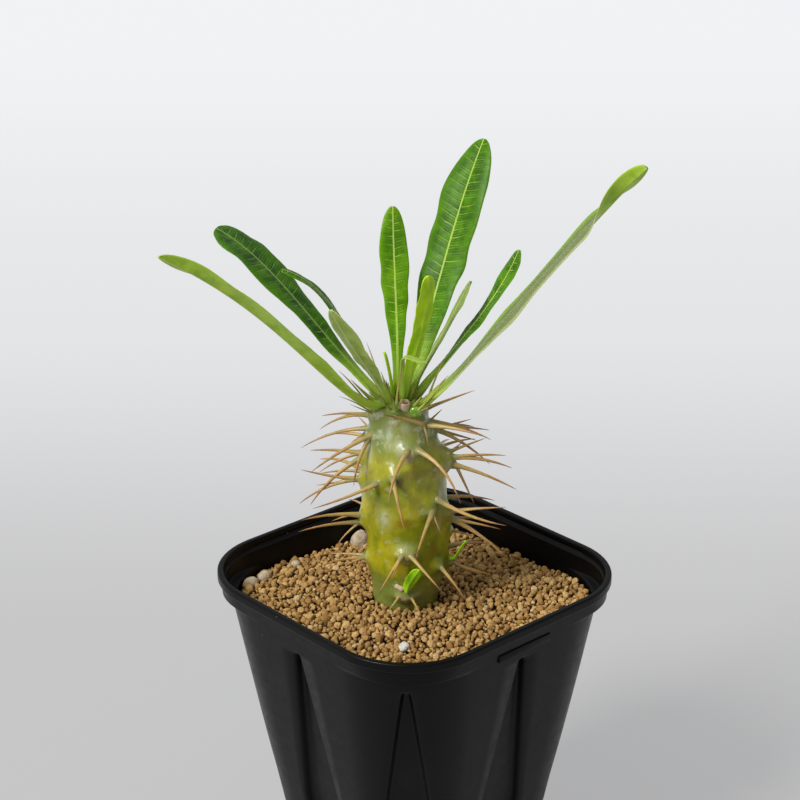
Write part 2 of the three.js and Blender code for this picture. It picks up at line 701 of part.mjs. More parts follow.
// Deep block whose top is a honeycomb of low grains with jittered middles and corners
function grainField() {
  const random = randomFrom(grainSeed);
  const rowHeight = grainPitch * Math.sqrt(0.75);
  const rows = Math.ceil((2 * grainFieldHalf) / rowHeight);
  const columns = Math.ceil((2 * grainFieldHalf) / grainPitch);
  const points = [];
  const addPoint = (x, y, z) => points.push(new THREE.Vector3(x, y, z)) - 1;
  const jitter = (reach) => (random() * 2 - 1) * reach;
  const corners = new Map();
  const cornerAt = (x, y) => {
    const key = `${Math.round(x * 100)},${Math.round(y * 100)}`;
    if (!corners.has(key)) {
      const [cx, cy] = [x + jitter(grainJitter), y + jitter(grainJitter)];
      corners.set(key, addPoint(cx, cy, soilLevel(cx, cy) - grainDip + jitter(0.2)));
    }
    return corners.get(key);
  };
  const triangles = [];
  for (let r = 0; r < rows; r += 1) {
    for (let c = 0; c < columns; c += 1) {
      const x = -grainFieldHalf + (c + (r % 2) / 2) * grainPitch;
      const y = -grainFieldHalf + r * rowHeight;
      const top = [x + jitter(grainJitter), y + jitter(grainJitter)];
      const middle = addPoint(...top, soilLevel(...top) + grainRise + jitter(grainJitter));
      const ring = [];
      for (let k = 0; k < 6; k += 1) {
        const angle = radians(30 + 60 * k);
        const reach = grainPitch / Math.sqrt(3);
        ring.push(cornerAt(x + reach * Math.cos(angle), y + reach * Math.sin(angle)));
      }
      ring.forEach((corner, k) => triangles.push([middle, corner, ring[(k + 1) % 6]]));
    }
  }
  const topCount = points.length;
  const edges = new Map();
  for (const [a, b, c] of triangles) {
    [[a, b], [b, c], [c, a]].forEach((edge) => edges.set(edge.join(), edge));
  }
  points.slice(0, topCount).forEach((p) => points.push(new THREE.Vector3(p.x, p.y, 0)));
  const lower = triangles.map(([a, b, c]) => [a + topCount, c + topCount, b + topCount]);
  const walls = [];
  for (const [a, b] of edges.values()) {
    if (!edges.has(`${b},${a}`)) {
      walls.push([b, a, a + topCount], [b, a + topCount, b + topCount]);
    }
  }
  return solidFrom(points, [...triangles, ...lower, ...walls]);
}

function makePebble([x, y, rx, ry, rz], grow, seed) {
  const random = randomFrom(seed);
  const geometry = new THREE.IcosahedronGeometry(1, 1);
  const dents = new Map();
  const position = geometry.getAttribute('position');
  const p = new THREE.Vector3();
  for (let i = 0; i < position.count; i += 1) {
    p.fromBufferAttribute(position, i);
    const key = [p.x, p.y, p.z].map((value) => Math.round(value * 1e3)).join();
    if (!dents.has(key)) dents.set(key, between(random, pebbleDent));
    const dent = dents.get(key);
    position.setXYZ(i, p.x * (rx * dent + grow), p.y * (ry * dent + grow), p.z * (rz * dent + grow));
  }
  geometry.translate(x, y, soilLevel(x, y) + pebbleLift);
  return solidOf(geometry);
}

function makeSoil() {
  const soilFloorDrop = potHeight - floorThickness - clearance;
  const fluteDrops = [fluteWidestDrop, fluteFullDrop, fluteStartDrop];
  const drops = [soilFloorDrop, ...fluteDrops, ...bandDrops.slice(2).reverse(), soilTopDrop];
  let soil = loft(drops.map((drop) => potOutline(drop, soilInset))).intersect(grainField());
  const hole = loft(holeLevels.map((height) => trunkRing(height, clearance, holeSides)));
  soil = soil.subtract(inPot(hole));
  pebbles.forEach((pebble, i) => {
    soil = soil.subtract(makePebble(pebble, clearance, pebbleSeed + i));
  });
  return largestPiece(soil);
}

// A solid of the plant's frame moved to the pot's frame
function inPot(solid) {
  return solid.rotate([0, 0, plantTurn]).translate([0, 0, potHeight]);
}

const object = new THREE.Group();
object.add(meshOf('pot', makePot(), finishes.pot));
object.add(meshOf('soil', makeSoil(), finishes.soil));
pebbles.forEach((pebble, i) => {
  object.add(meshOf(`pumice_${i + 1}`, makePebble(pebble, 0, pebbleSeed + i), finishes.pumice));
});

const plant = new THREE.Group();
plant.position.set(0, 0, potHeight);
plant.rotation.z = radians(plantTurn);
object.add(plant);

const trunk = makeTrunk();
plant.add(meshOf('trunk', trunk, finishes.trunk));
const crown = loft(crownLevels.map((height) => trunkRing(height, 2 * clearance, crownSides)));
for (const leaf of leaves) {
  plant.add(meshOf(leaf.name, largestPiece(makeLeaf(leaf).subtract(crown)), finishes.leaf));
}

export default object;
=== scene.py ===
import math

import bmesh
import bpy
import numpy as np
from mathutils import Matrix, Vector, noise


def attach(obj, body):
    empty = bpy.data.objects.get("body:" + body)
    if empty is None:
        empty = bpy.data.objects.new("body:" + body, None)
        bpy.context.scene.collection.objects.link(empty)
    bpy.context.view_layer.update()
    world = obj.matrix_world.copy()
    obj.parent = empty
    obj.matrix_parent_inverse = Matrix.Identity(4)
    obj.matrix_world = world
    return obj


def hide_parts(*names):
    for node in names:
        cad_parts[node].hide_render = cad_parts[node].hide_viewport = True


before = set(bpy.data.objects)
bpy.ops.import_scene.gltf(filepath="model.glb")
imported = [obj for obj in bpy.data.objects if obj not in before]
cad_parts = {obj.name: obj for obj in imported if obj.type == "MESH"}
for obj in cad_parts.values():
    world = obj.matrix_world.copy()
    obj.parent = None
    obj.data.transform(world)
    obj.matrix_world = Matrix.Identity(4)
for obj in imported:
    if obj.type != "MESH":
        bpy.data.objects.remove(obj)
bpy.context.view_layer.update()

# Lengths below are millimetres; pieces are built in metres.
MM = 0.001

# Pot
POT_HEIGHT = 98.0
RIM_DROP = 2.5
RIM_WALL = 1.8
POT_WALL = 1.2
FLOOR_THICKNESS = 1.6
FOOT_INSET = 0.7
BAND = np.array([
    [0, 45, 23.1], [RIM_DROP, 45, 23.1], [2.7, 43.6, 20.7],
    [6.65, 42.87, 18.65], [7.5, 42.73, 24.65],
])
LEDGE_TOP, LEDGE_FOOT = 6.65, 7.5
BODY_TOP_DROP, BODY_HALF, BODY_TAPER = 15, 41.5, 0.164
BODY_RADIUS, BODY_RADIUS_TAPER = 24, 0.085
FLUTE_START, FLUTE_FULL, FLUTE_WIDEST = 10.4, 12.2, 60
FLUTE_DEPTH, FLUTE_HALF, FLUTE_WIDENING, FLUTE_WALL = 2.2, 1.2, 0.13, 0.7
FLUTE_ROUND = 0.2
HOLE_RADIUS, HOLE_OFFSET = 4.0, 15.0
TAB_SIZE, TAB_PROUD, TAB_DROP = (19, 1.4, 2.2), 0.5, 7.4

# Soil
SOIL_DROP, SOIL_SLOPE, SOIL_ROLL = 8.2, 0.045, 0.35
SOIL_HALF, SOIL_RADIUS = 42.2, 24.5
BED_GAP, BED_FOOT_GAP, BED_SINK = 0.3, 0.35, 1.6
TRUNK_MIDDLE_AT_SOIL, TRUNK_RADIUS_AT_SOIL = -2.1, 9.3

# Grains: sizes are (radius, number of tries), a lie is the height over the soil's level and
# its spread, and the distances from wall and trunk are shares of the grain's radius
GRAIN_SEED, GRAIN_FIELD, GRAIN_CELL, GRAIN_KINDS, GRAIN_CUTS = 11, 42.5, 3.4, 12, 9
BED_GRAINS, BED_LIE = [(1.4, 2500), (1.0, 5000)], (-1.5, 0.25)
LARGE_GRAINS = [(1.3, 40), (1.1, 200), (0.92, 900), (0.78, 2600)]
SMALL_GRAINS = [(0.62, 8000), (0.5, 12000), (0.4, 9000)]
LARGE_LIE, SMALL_LIE = (0.1, 0.45), (-0.15, 0.5)
BED_TIGHTNESS, GRAIN_TIGHTNESS = 0.78, 0.88
GRAIN_FROM_WALL, GRAIN_FROM_TRUNK = 0.75, 0.35

# Plant: its frame stands on the rim's centre, turned about the pot's axis
PLANT_TURN = math.radians(-42.18)
TRUNK = np.array([
    [-24, -2.0, 2.5], [-21, -2.0, 5.4], [-16, -2.1, 7.6], [-11, -2.2, 8.4],
    [-6, -2.1, 9.2], [-1.5, -1.8, 10.1], [2.5, -1.9, 11.0], [12, -1.8, 11.1],
    [20, -2.3, 11.6], [24.5, -2.6, 11.5], [29.5, -2.6, 11.3], [34, -2.3, 11.0],
    [38.7, -3.2, 9.0], [40.7, -3.5, 7.9], [43, -3.9, 7.0], [47, -4.1, 6.8],
    [50, -4.2, 6.6], [51.8, -4.2, 5.5], [53, -4.2, 3.6], [53.5, -4.2, 1.5],
])
TRUNK_LOBE, TRUNK_LOBES, TRUNK_TWIST = 0.18, 3, 0.23
CROWN_SHOULDER, CROWN_SINK = 49.5, 0.62
TUBERCLE_RISE, TUBERCLE_SPREAD, TUBERCLE_OVERLAP = 1.1, 2.3, 1.25
FULL_TUBERCLE_RADIUS = 8
SKIN_COLUMNS, SKIN_ROWS, CROWN_ROWS = 220, 250, 24
CROWN_EDGE, FRESH_FROM, FRESH_TO = 50, 47.5, 50

# Tubercles: [azimuth, height] and for each spine (heading, pitch, length, bow)
TUBERCLES = [
    ((181, 45.8), [(181, -1, 12.5, 0.05), (182, -17, 13.5, 0.1)]),
    ((176, 41.5), [(176, -19, 19, 0.07)]),
    ((171, 40), [(170, -39, 5.5, 0)]),
    ((207, 41.5), [(202, -25, 19, 0.04), (213, -68, 14.5, 0.07)]),
    ((176, 34.2), [(176, 2, 13.5, 0.03), (176, -28, 12.5, 0.05)]),
    ((181, 32.9), [(181, -45, 19, 0.06)]),
    ((180, 27), [(180, 10, 15.5, -0.02), (180, -10, 11.5, 0), (180, -25, 17.5, 0.08)]),
    ((233, 30), [(203, -12, 18.5, -0.02), (231, -8, 4.7, 0)]),
    ((279, 39.2), [(249, -30, 17.5, 0.1)]),
    ((255, 32.4), [(280, -24, 17.5, 0.02)]),
    ((296, 39.2), [(318, -36, 18.5, 0.13)]),
    ((322, 45), [(215, 25, 14, 0.02), (320, -78, 6.7, 0.09)]),
    ((332, 44.2), [(333, 0, 16.5, 0.05)]),
    ((1, 43.7), [(2, -19, 17.5, 0.05), (0, 46, 5, 0)]),
    ((15, 40.5), [(1, -35, 18.5, 0.05), (16, -22, 13, 0), (13, 10, 10.5, 0)]),
    ((7, 47.2), [(7, 19, 13.5, 0.01)]),
    ((359, 33.3), [(359, 2, 14.5, 0.04), (359, -11, 16.5, 0.06), (358, -66, 15, 0)]),
    ((356, 31.6), [(359, -23, 19, 0.03)]),
    ((6, 34.4), [(6, 20, 10, 0), (4, 39, 4.5, 0)]),
    ((314, 25), [(337, -12, 20, -0.05)]),
    ((304, 22), [(249, -31, 15, 0), (304, -49, 6.4, 0)]),
    ((344, 18.8), [(344, 12, 15.5, 0.01)]),
    ((347, 16.2), [(347, -7, 13.5, 0.01), (347, -34, 18, 0.05)]),
    ((357, 11.8), [(358, -17, 6, 0)]),
    ((197, 18), [(198, 3, 16.5, 0.05), (171, 1, 3.5, 0)]),
    ((193, 15.4), [(192, -4, 17, 0.05), (202, -41, 9.5, 0.07)]),
    ((263, 9.7), [(235, -31, 13, 0.01), (246, -26, 8, 0)]),
    ((274, 9.8), [(316, -31, 13.5, 0.02)]),
    ((170, 3), [(167, -4, 10.5, 0.02)]),
    ((198, 5), [(195, -1, 11, 0.05), (204, -18, 8.5, 0.09)]),
    ((357, 2), [(358, -19, 11, 0), (348, -17, 8, 0)]),
    ((319, 4.2), [(320, -40, 11.5, 0.04)]),
    ((258, -3.3), [(242, -13, 8, 0)]),
    ((276, -3.4), [(291, -14, 7.7, 0)]),
]
CROWN_TUBERCLES = [
    ((196, 48.9), [(200, 54, 14.5, 0.03)]),
    ((211, 47.8), [(207, 35, 12, 0.04), (223, 32, 9.5, 0)]),
    ((180, 48.6), [(180, 44, 7, 0)]),
    ((118, 49), [(126, 55, 15, 0.02), (116, 36, 14.5, 0)]),
    ((82, 49), [(100, 44, 14.5, 0.04), (60, 50, 15.5, 0.02)]),
    ((266, 50), [(342, 82, 14, 0.02)]),
    ((355, 49.4), [(12, 68, 14.5, 0.02), (4, 53, 9.6, 0.04)]),
    ((300, 48.6), [(350, 52, 15, -0.03), (349, 31, 7.3, 0)]),
]
REAR_COUNT, REAR_LOWEST, REAR_RISE = 15, 4, 2.75
REAR_AZIMUTH, REAR_SWEEP, REAR_STEP, REAR_SEED = 24, 132, 0.618, 5

# Spines: shares of the length, and the radius of a full spine at each of them
SPINE_STATIONS = np.array([-0.05, 0.0, 0.035, 0.08, 0.16, 0.28, 0.42, 0.58, 0.74, 0.88, 0.97, 1.0])
SPINE_RADII = np.array([1.1, 0.98, 0.82, 0.71, 0.6, 0.51, 0.43, 0.35, 0.26, 0.15, 0.07, 0.02])
CROWN_SPINE_SHARE, LONG_SPINE, THINNEST_SPINE = 0.58, 15, 0.6
SPINE_ROOT, SPINE_SWAY, SPINE_SIDES = 1.4, 0.012, 12

# Leaf scars and warts on the trunk: azimuth, height, radius, rise
SCARS = [
    (250, 28.6, 0.9, 0.3), (280, 37.5, 1.5, 0.35), (270, 7.3, 0.9, 0.3),
    (265, -4.8, 1.2, 0.4), (264, 46.0, 0.8, 0.3), (243, 21.0, 0.6, 0.2),
    (301, 12.0, 0.5, 0.2), (228, 9.0, 0.7, 0.2), (315, 33.0, 0.7, 0.2),
    (20, 24.0, 0.9, 0.3), (70, 30.0, 0.9, 0.3), (110, 14.0, 0.8, 0.3),
    (150, 34.0, 0.9, 0.3), (48, 8.0, 0.7, 0.2), (300, 46.5, 0.6, 0.2),
]

# Young leaf bases in the crown
BRACTS, BRACT_SEED, BRACT_SIDES, GOLDEN_ANGLE = 40, 9, 14, 137.5
CROWN_X, BRACT_FOOT, BRACT_RING = -4.2, 48.4, 5.6

# Whitish bloom of the wax, and at some places painted highlights on the front left and the neck
# and a painted reflection down the right edge: azimuth, height, half width, half height, strength
BLOOM_AND_HIGHLIGHTS = [
    (238, 19.5, 1.9, 2.6, 0.9), (247, 43.0, 1.5, 2.6, 0.9), (268, 40.0, 1.8, 2.2, 0.7),
    (285, 44.5, 1.4, 1.6, 0.6), (346, 27.0, 0.9, 6.0, 0.8), (268, 11.8, 1.8, 1.2, 0.6),
    (210, 37.0, 1.2, 3.0, 0.6), (318, 17.0, 1.2, 2.0, 0.4), (60, 40.0, 2.0, 3.0, 0.7),
    (120, 22.0, 1.6, 3.2, 0.6), (165, 43.0, 1.4, 2.4, 0.7), (30, 13.0, 1.5, 2.5, 0.5),
]

# Hollow between two tubercles, darkened in the skin's colour as painted shade: azimuth, height
PIT_SHADE = (261, 31.3)

# Leaves: name, looks of the upper and lower face, width, widest place, fullness, roll,
# fold, place where they turn, ripple of the edge, control points
PLAIN_FOLD = (0.16, 0.16)
LEAVES = [
    ("leaf_01", "yellow", "yellow", 11, 0.66, 1.04, (8, 50), (0.4, 0.53), 0.8, 0.3,
     [(-8, -3, 49.5), (-19.5, -12.5, 52), (-32, -21, 83.5), (-62.5, -32, 101.5)]),
    ("leaf_02", "dark", "lower", 11.5, 0.79, 1.35, (-7, -8), PLAIN_FOLD, 0, 0.35,
     [(-9, 3, 49.5), (-26, 10, 65.5), (-37.5, 17, 83.5), (-53, 24, 90)]),
    ("leaf_03", "grey", "grey", 7.8, 0.76, 1.5, (9, 7), PLAIN_FOLD, 0, 0.2,
     [(-6.5, -3, 51), (-9.5, -7, 59.5), (-15, -11.5, 67.5), (-21, -16, 81.5)]),
    ("leaf_04", "upper", "grey", 5.5, 0.78, 1.2, (-15, -4), PLAIN_FOLD, 0, 0.2,
     [(-6.5, 0, 51.5), (-17, -1.5, 65.5), (-20, -2.5, 83), (-34, -4, 88)]),
    ("leaf_05", "inner", "lower", 7.7, 0.72, 1.9, (0, 4), PLAIN_FOLD, 0, 0.25,
     [(-4.5, 3, 51), (-3.8, 8.5, 66), (-5.3, 14.5, 80), (-5.4, 20, 97.5)]),
    ("leaf_06", "upper", "lower", 14, 0.7, 1.25, (9, -1), PLAIN_FOLD, 0, 0.4,
     [(-2, 4, 51), (5.8, 12.5, 71), (10.2, 21.5, 92), (19.3, 30, 113)]),
    ("leaf_07", "young", "young", 6.4, 0.75, 0.95, (-19, -5), PLAIN_FOLD, 0, 0.2,
     [(-2.5, -1.5, 51.5), (-0.5, -2.5, 65), (4.5, -4.5, 77.5), (3.5, -6, 87)]),
    ("leaf_08", "dull", "dull", 4.6, 0.81, 1.4, (-7, 1), PLAIN_FOLD, 0, 0.15,
     [(-1.5, 1, 51), (3.5, 2, 61), (10, 3, 70), (15, 4, 82)]),
    ("leaf_09", "upper", "lower", 7.2, 0.88, 1.6, (-4, 5), PLAIN_FOLD, 0, 0.25,
     [(0, 1, 50.5), (11, 3.5, 63), (22.7, 5.5, 75.8), (28, 8, 89.1)]),
    ("leaf_10", "banded", "yellow", 13.5, 0.6, 1.88, (19, -47), (0.12, 0.61), 0.8, 0.3,
     [(1.5, -3, 49), (15, -12, 64), (32, -20, 93.5), (56, -31, 123.5)]),
    ("leaf_11", "lower", "lower", 2.6, 0.78, 0.8, (0, 0), PLAIN_FOLD, 0, 0,
     [(-3.2, -3.8, 51), (-3.2, -5.8, 68.5), (-3.8, -6.2, 64.8), (3.4, -6.6, 63.1)]),
    ("leaf_12", "young", "young", 2.2, 0.78, 0.8, (0, 0), PLAIN_FOLD, 0, 0,
     [(-5.4, -1.4, 51), (-5.6, -1.4, 55), (-6.6, -1.2, 60), (-7.7, -1, 64.1)]),
    ("shoot_leaf_front", "shoot", "shoot", 3.4, 0.7, 0.6, (-70, -70), PLAIN_FOLD, 0, 0,
     [(-2.2, -11.6, -1.4), (-1.9, -12.4, 1), (-0.4, -12.6, 3.6), (1.4, -12.6, 5.9)]),
    ("shoot_leaf_side", "shoot", "shoot", 1.8, 0.78, 0.6, (0, 0), PLAIN_FOLD, 0, 0,
     [(9.3, -3.1, 4.8), (11.1, -3.9, 3.8), (11.4, -4.2, 6.4), (14.1, -5, 10.8)]),
]
PETIOLE_SHARE, LEAF_EDGE_DROP = 0.2, 0.1
STOUT_FEET = ("leaf_01", "leaf_10")
FOOT_WIDENING, STOUT_WIDENING = 0.38, 0.55
LEAF_RIPPLES, LEAF_RIPPLE_SHIFT, LAST_STATION = 18, 1.7, 0.9985
LEAF_FRILL, LEAF_UNEVENNESS = 0.05, 0.045
VEIN_GAP, VEIN_RISE, VEIN_CURVE, VEIN_SHIFT = 2.2, 0.22, 0.02, 0.3
VEIN_DENT, VEIN_HALF = 0.035, 0.32

# Rows, columns of a half and crowding of the rows towards the tip, for narrow and full leaves
NARROW_LEAF, NARROW_GRID, FULL_GRID = 4, (40, 5, 0.9), (210, 11, 1)

# Midrib: half width at the foot, its taper and least value, for the relief and the colour;
# rise below and above the blade
RIB_HALF, RIB_TAPER, RIB_LEAST = 0.75, 0.75, 0.12
RIB_PAINT, RIB_PAINT_TAPER, RIB_PAINT_LEAST = 0.36, 0.6, 0.04
RIB_BELOW, RIB_BELOW_TAPER, RIB_ABOVE = 0.62, 0.7, 0.12

# Thickness of a blade at its edge, what its middle and its foot have more, and the share
# of it that the rounded edge keeps
EDGE_THICKNESS, MIDDLE_SWELL, FOOT_SWELL, EDGE_KEEPS = 0.32, 0.22, 0.575, 0.18

# Looks of leaf faces: deep, bright and vein colour, strength of the veins, least roughness,
# strength of the midrib, and where they differ the specular level and the edges' colours
LEAF_LOOKS = {
    "upper": ((0.028, 0.105, 0.0005), (0.08, 0.225, 0.0005), (0.42, 0.58, 0.09), 0.75, 0.34,
              0.9, 0.16),
    "inner": ((0.06, 0.19, 0.0005), (0.14, 0.33, 0.001), (0.48, 0.64, 0.12), 0.85, 0.24, 0.9),
    "lower": ((0.29, 0.43, 0.06), (0.44, 0.60, 0.10), (0.52, 0.64, 0.22), 0.25, 0.42, 0.5),
    "dark": ((0.014, 0.07, 0.0005), (0.06, 0.18, 0.001), (0.40, 0.56, 0.16), 0.5, 0.24, 0.45),
    "grey": ((0.26, 0.35, 0.065), (0.38, 0.48, 0.13), (0.55, 0.60, 0.30), 0.2, 0.4, 0.75),
    "dull": ((0.17, 0.25, 0.045), (0.25, 0.34, 0.08), (0.45, 0.50, 0.22), 0.2, 0.4, 0.75),
    "banded": ((0.14, 0.185, 0.045), (0.16, 0.21, 0.06), (0.40, 0.44, 0.22), 0.3, 0.4, 0.4,
               0.26, ((0.19, 0.36, 0.01), (0.34, 0.37, 0.17))),
    "yellow": ((0.26, 0.43, 0.02), (0.40, 0.58, 0.05), (0.55, 0.66, 0.20), 0.35, 0.38, 0.6),
    "young": ((0.36, 0.60, 0.004), (0.52, 0.76, 0.008), (0.6, 0.7, 0.12), 0.25, 0.36, 0.5),
    "shoot": ((0.24, 0.55, 0.003), (0.42, 0.74, 0.01), (0.6, 0.8, 0.2), 0.1, 0.3, 0.3),
}

# Pumice pebbles in the pot's frame: x, y, radius x, y, z
PEBBLES = [
    (-28.4, 36.2, 2.4, 1.9, 1.6), (-23.2, 36.6, 2.1, 1.9, 1.6), (-11.5, 37.0, 1.4, 1.4, 1.3),
    (-22.6, -20.7, 1.6, 1.5, 1.4), (13.0, 37.2, 3.2, 2.6, 3.9),
]
PEBBLE_LIFT = 0.4

# Camera in the pot's frame
CAMERA_PLACE = (-374.79, -408.17, 380.48)
CAMERA_RIGHT = (0.73993, -0.67268, -0.00387)
CAMERA_UP = (0.26292, 0.2839, 0.9221)
CAMERA_LENS = 101.785

# Light: the side the surroundings are brightest on and their range of strength, and the
# direction that the sun stands in, its strength, width in degrees and colour. Directions
# are those of the photo's view: x right, y away, z up.
BRIGHT_SIDE = (-0.45, 0.1, 0.86)
SURROUNDINGS = {"From Min": -0.6, "From Max": 0.9, "To Min": 0.08, "To Max": 0.62}
SUN_TOWARD, SUN_STRENGTH, SUN_WIDTH = (-0.62, -0.46, 0.72), 2.9, 20
SUN_COLOR = (1.0, 0.985, 0.955)

# The floor's colours from near to far, paler with distance as painted light, its glow, which
# paints light into the shadows on it, and the share of its colour that shading still changes
FLOOR_FALLOFF_COLORS = [(0.515, 0.515, 0.52), (0.70, 0.705, 0.72), (0.80, 0.807, 0.825)]
FLOOR_PAINTED_GLOW, FLOOR_SHARE = 0.68, 0.38


# Meshes

def in_pot(points):
    """Points of the plant's frame in the pot's frame."""
    c, s = math.cos(PLANT_TURN), math.sin(PLANT_TURN)
    x, y, z = points[..., 0], points[..., 1], points[..., 2]
    return np.stack([c * x - s * y, s * x + c * y, z + POT_HEIGHT], axis=-1)


def add_mesh(name, points, faces, materials, uv=None, values=None, slots=None):
    """Piece from points in millimetres. uv and values are per point, slots per face."""
    mesh = bpy.data.meshes.new(name)
    mesh.from_pydata((np.asarray(points) * MM).tolist(), [], faces)
    for material in materials:
        mesh.materials.append(material)
    if slots is not None:
        mesh.polygons.foreach_set("material_index", slots)
    corners = np.zeros(len(mesh.loops), dtype=np.int32)
    mesh.loops.foreach_get("vertex_index", corners)
    if uv is not None:
        layer = mesh.uv_layers.new(name="uv")
        layer.data.foreach_set("uv", np.asarray(uv, dtype=np.float32)[corners].ravel())
    for key, value in (values or {}).items():
        layer = mesh.attributes.new(key, "FLOAT", "POINT")
        layer.data.foreach_set("value", np.asarray(value, dtype=np.float32))
    mesh.polygons.foreach_set("use_smooth", [True] * len(mesh.polygons))
    mesh.update()
    return add_object(name, mesh)


def add_object(name, data):
    made = bpy.data.objects.new(name, data)
    bpy.context.scene.collection.objects.link(made)
    return made


def grid_faces(rows, columns):
    """Faces between rings of points, each ring closed on itself."""
    faces = []
    for r in range(rows - 1):
        for c in range(columns):
            n = (c + 1) % columns
            faces.append((r * columns + c, r * columns + n,
                          (r + 1) * columns + n, (r + 1) * columns + c))
    return faces


def tube_faces(rows, columns):
    """Faces of rings that the last two points close, the first of them at the foot."""
    faces = grid_faces(rows, columns)
    foot, tip, last = rows * columns, rows * columns + 1, (rows - 1) * columns
    for c in range(columns):
        n = (c + 1) % columns
        faces.append((foot, n, c))
        faces.append((tip, last + c, last + n))
    return faces


def smoothstep(x, low=0.0, high=1.0):
    t = np.clip((x - low) / (high - low), 0, 1)
    return t * t * (3 - 2 * t)


def unit(vectors):
    return vectors / np.linalg.norm(vectors, axis=-1, keepdims=True)


def noise_at(points, scale, seed):
    """Smooth noise from -1 to 1 for each row of points."""
    shift = Vector((seed * 7.1, seed * 3.3, seed * 5.7))
    return np.array([noise.noise(Vector(p) / scale + shift) for p in points.tolist()])


def ride(piece, slot, *nodes):
    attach(piece, "root")
    if nodes:
        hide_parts(*nodes)


# Materials

class Nodes:
    """Short hand for one material's node tree."""

    def __init__(self, name, **values):
        self.material = bpy.data.materials.new(name)
        self.material.use_nodes = True
        self.tree = self.material.node_tree
        self.shader = self.tree.nodes["Principled BSDF"]
        for key, value in values.items():
            socket = key.replace("_", " ").title().replace("Ior", "IOR")
            self.shader.inputs[socket].default_value = value

    def add(self, kind, inputs=(), **settings):
        """New node. Each of its inputs is a number, a colour or another node's output."""
        node = self.tree.nodes.new(kind)
        for key, value in settings.items():
            setattr(node, key, value)
        for key, value in dict(inputs).items():
            self.link(value, node.inputs[key])
        return node

    def link(self, source, target):
        if isinstance(source, (int, float)):
            target.default_value = source
        elif isinstance(source, tuple):
            target.default_value = (*source, 1)[:len(target.default_value)]
        else:
            self.tree.links.new(source, target)

    def math(self, operation, a, b=0.0):
        return self.add("ShaderNodeMath", {0: a, 1: b}, operation=operation).outputs[0]

    def plus(self, a, b):
        return self.math("ADD", a, b)

    def minus(self, a, b):
        return self.math("SUBTRACT", a, b)

    def times(self, a, b):
        return self.math("MULTIPLY", a, b)

    def place(self, scale=(1, 1, 1)):
        """Object position in millimetres, times scale."""
        place = self.add("ShaderNodeTexCoord").outputs["Object"]
        factors = tuple(number / MM for number in scale)
        return self.add("ShaderNodeVectorMath", {0: place, 1: factors},
                        operation="MULTIPLY").outputs[0]

    def noise(self, size, detail=3.0, rough=0.5, stretch=(1, 1, 1)):
        """Noise whose features are about size millimetres across."""
        return self.add("ShaderNodeTexNoise", {
            "Vector": self.place(stretch), "Scale": 1 / size, "Detail": detail,
            "Roughness": rough,
        }).outputs["Fac"]

    def cells(self, gap):
        """Distance from the nearest of random points about gap millimetres apart."""
        return self.add("ShaderNodeTexVoronoi", {
            "Vector": self.place(), "Scale": 1 / gap,
        }).outputs["Distance"]

    def attribute(self, name):
        return self.add("ShaderNodeAttribute", attribute_name=name).outputs["Fac"]

    def step(self, value, low, high):
        return self.add("ShaderNodeMapRange", {
            "Value": value, "From Min": low, "From Max": high,
        }, interpolation_type="SMOOTHSTEP").outputs[0]

    def ramp(self, value, low, high, to_low, to_high):
        return self.add("ShaderNodeMapRange", {
            "Value": value, "From Min": low, "From Max": high,
            "To Min": to_low, "To Max": to_high,
        }).outputs[0]

    def mix(self, factor, a, b):
        return self.add("ShaderNodeMix", {0: factor, 6: a, 7: b}, data_type="RGBA").outputs[2]

    def bump(self, height, distance, strength, normal=None):
        """Bump whose height of 1 stands for distance millimetres."""
        inputs = {"Strength": strength, "Distance": distance * MM, "Height": height}
        if normal:
            inputs["Normal"] = normal
        return self.add("ShaderNodeBump", inputs).outputs[0]

    def finish(self, color, roughness=None, normal=None):
        for key, value in (("Base Color", color), ("Roughness", roughness), ("Normal", normal)):
            if value is not None:
                self.link(value, self.shader.inputs[key])
        return self.material


def pot_material():
    m = Nodes("pot_plastic", specular_ior_level=0.15)
    dust = m.step(m.noise(16, 4, 0.6), 0.5, 0.75)
    specks = m.step(m.cells(5.5), 0.055, 0.02)
    rare = m.step(m.noise(9, 2), 0.52, 0.56)
    specks = m.times(specks, rare)
    color = m.mix(dust, (0.0014, 0.0014, 0.0017), (0.003, 0.003, 0.0034))
    color = m.mix(specks, color, (0.12, 0.12, 0.13))
    draw = m.noise(1.0, 2, 0.5, (1.4, 1.4, 0.08))
    rough = m.ramp(m.noise(3, 4, 0.65), 0.3, 0.7, 0.28, 0.42)
    grain = m.bump(m.noise(0.28, 2), 0.02, 0.5)
    return m.finish(color, rough, m.bump(draw, 0.03, 0.35, grain))


def grain_material(name, dark, mid, light, pale):
    m = Nodes(name, roughness=0.92, specular_ior_level=0.25)
    island = m.add("ShaderNodeNewGeometry").outputs["Random Per Island"]
    color = m.mix(m.step(island, 0.0, 0.5), dark, mid)
    color = m.mix(m.step(island, 0.5, 0.93), color, light)
    color = m.mix(m.step(island, 0.965, 0.99), color, pale)
    mottle = m.noise(0.7, 4, 0.65)
    color = m.mix(m.ramp(mottle, 0.35, 0.68, 0.0, 0.6), color, mid)
    # Dark spots painted as the shade in small pits of the grit, which the relief does not carve
    shaded_pits = m.step(m.noise(0.35, 3, 0.6), 0.56, 0.68)
    color = m.mix(m.times(shaded_pits, 0.45), color, tuple(0.45 * c for c in dark))
    relief = m.bump(m.noise(0.45, 5, 0.75), 0.45, 0.9)
    return m.finish(color, None, relief)


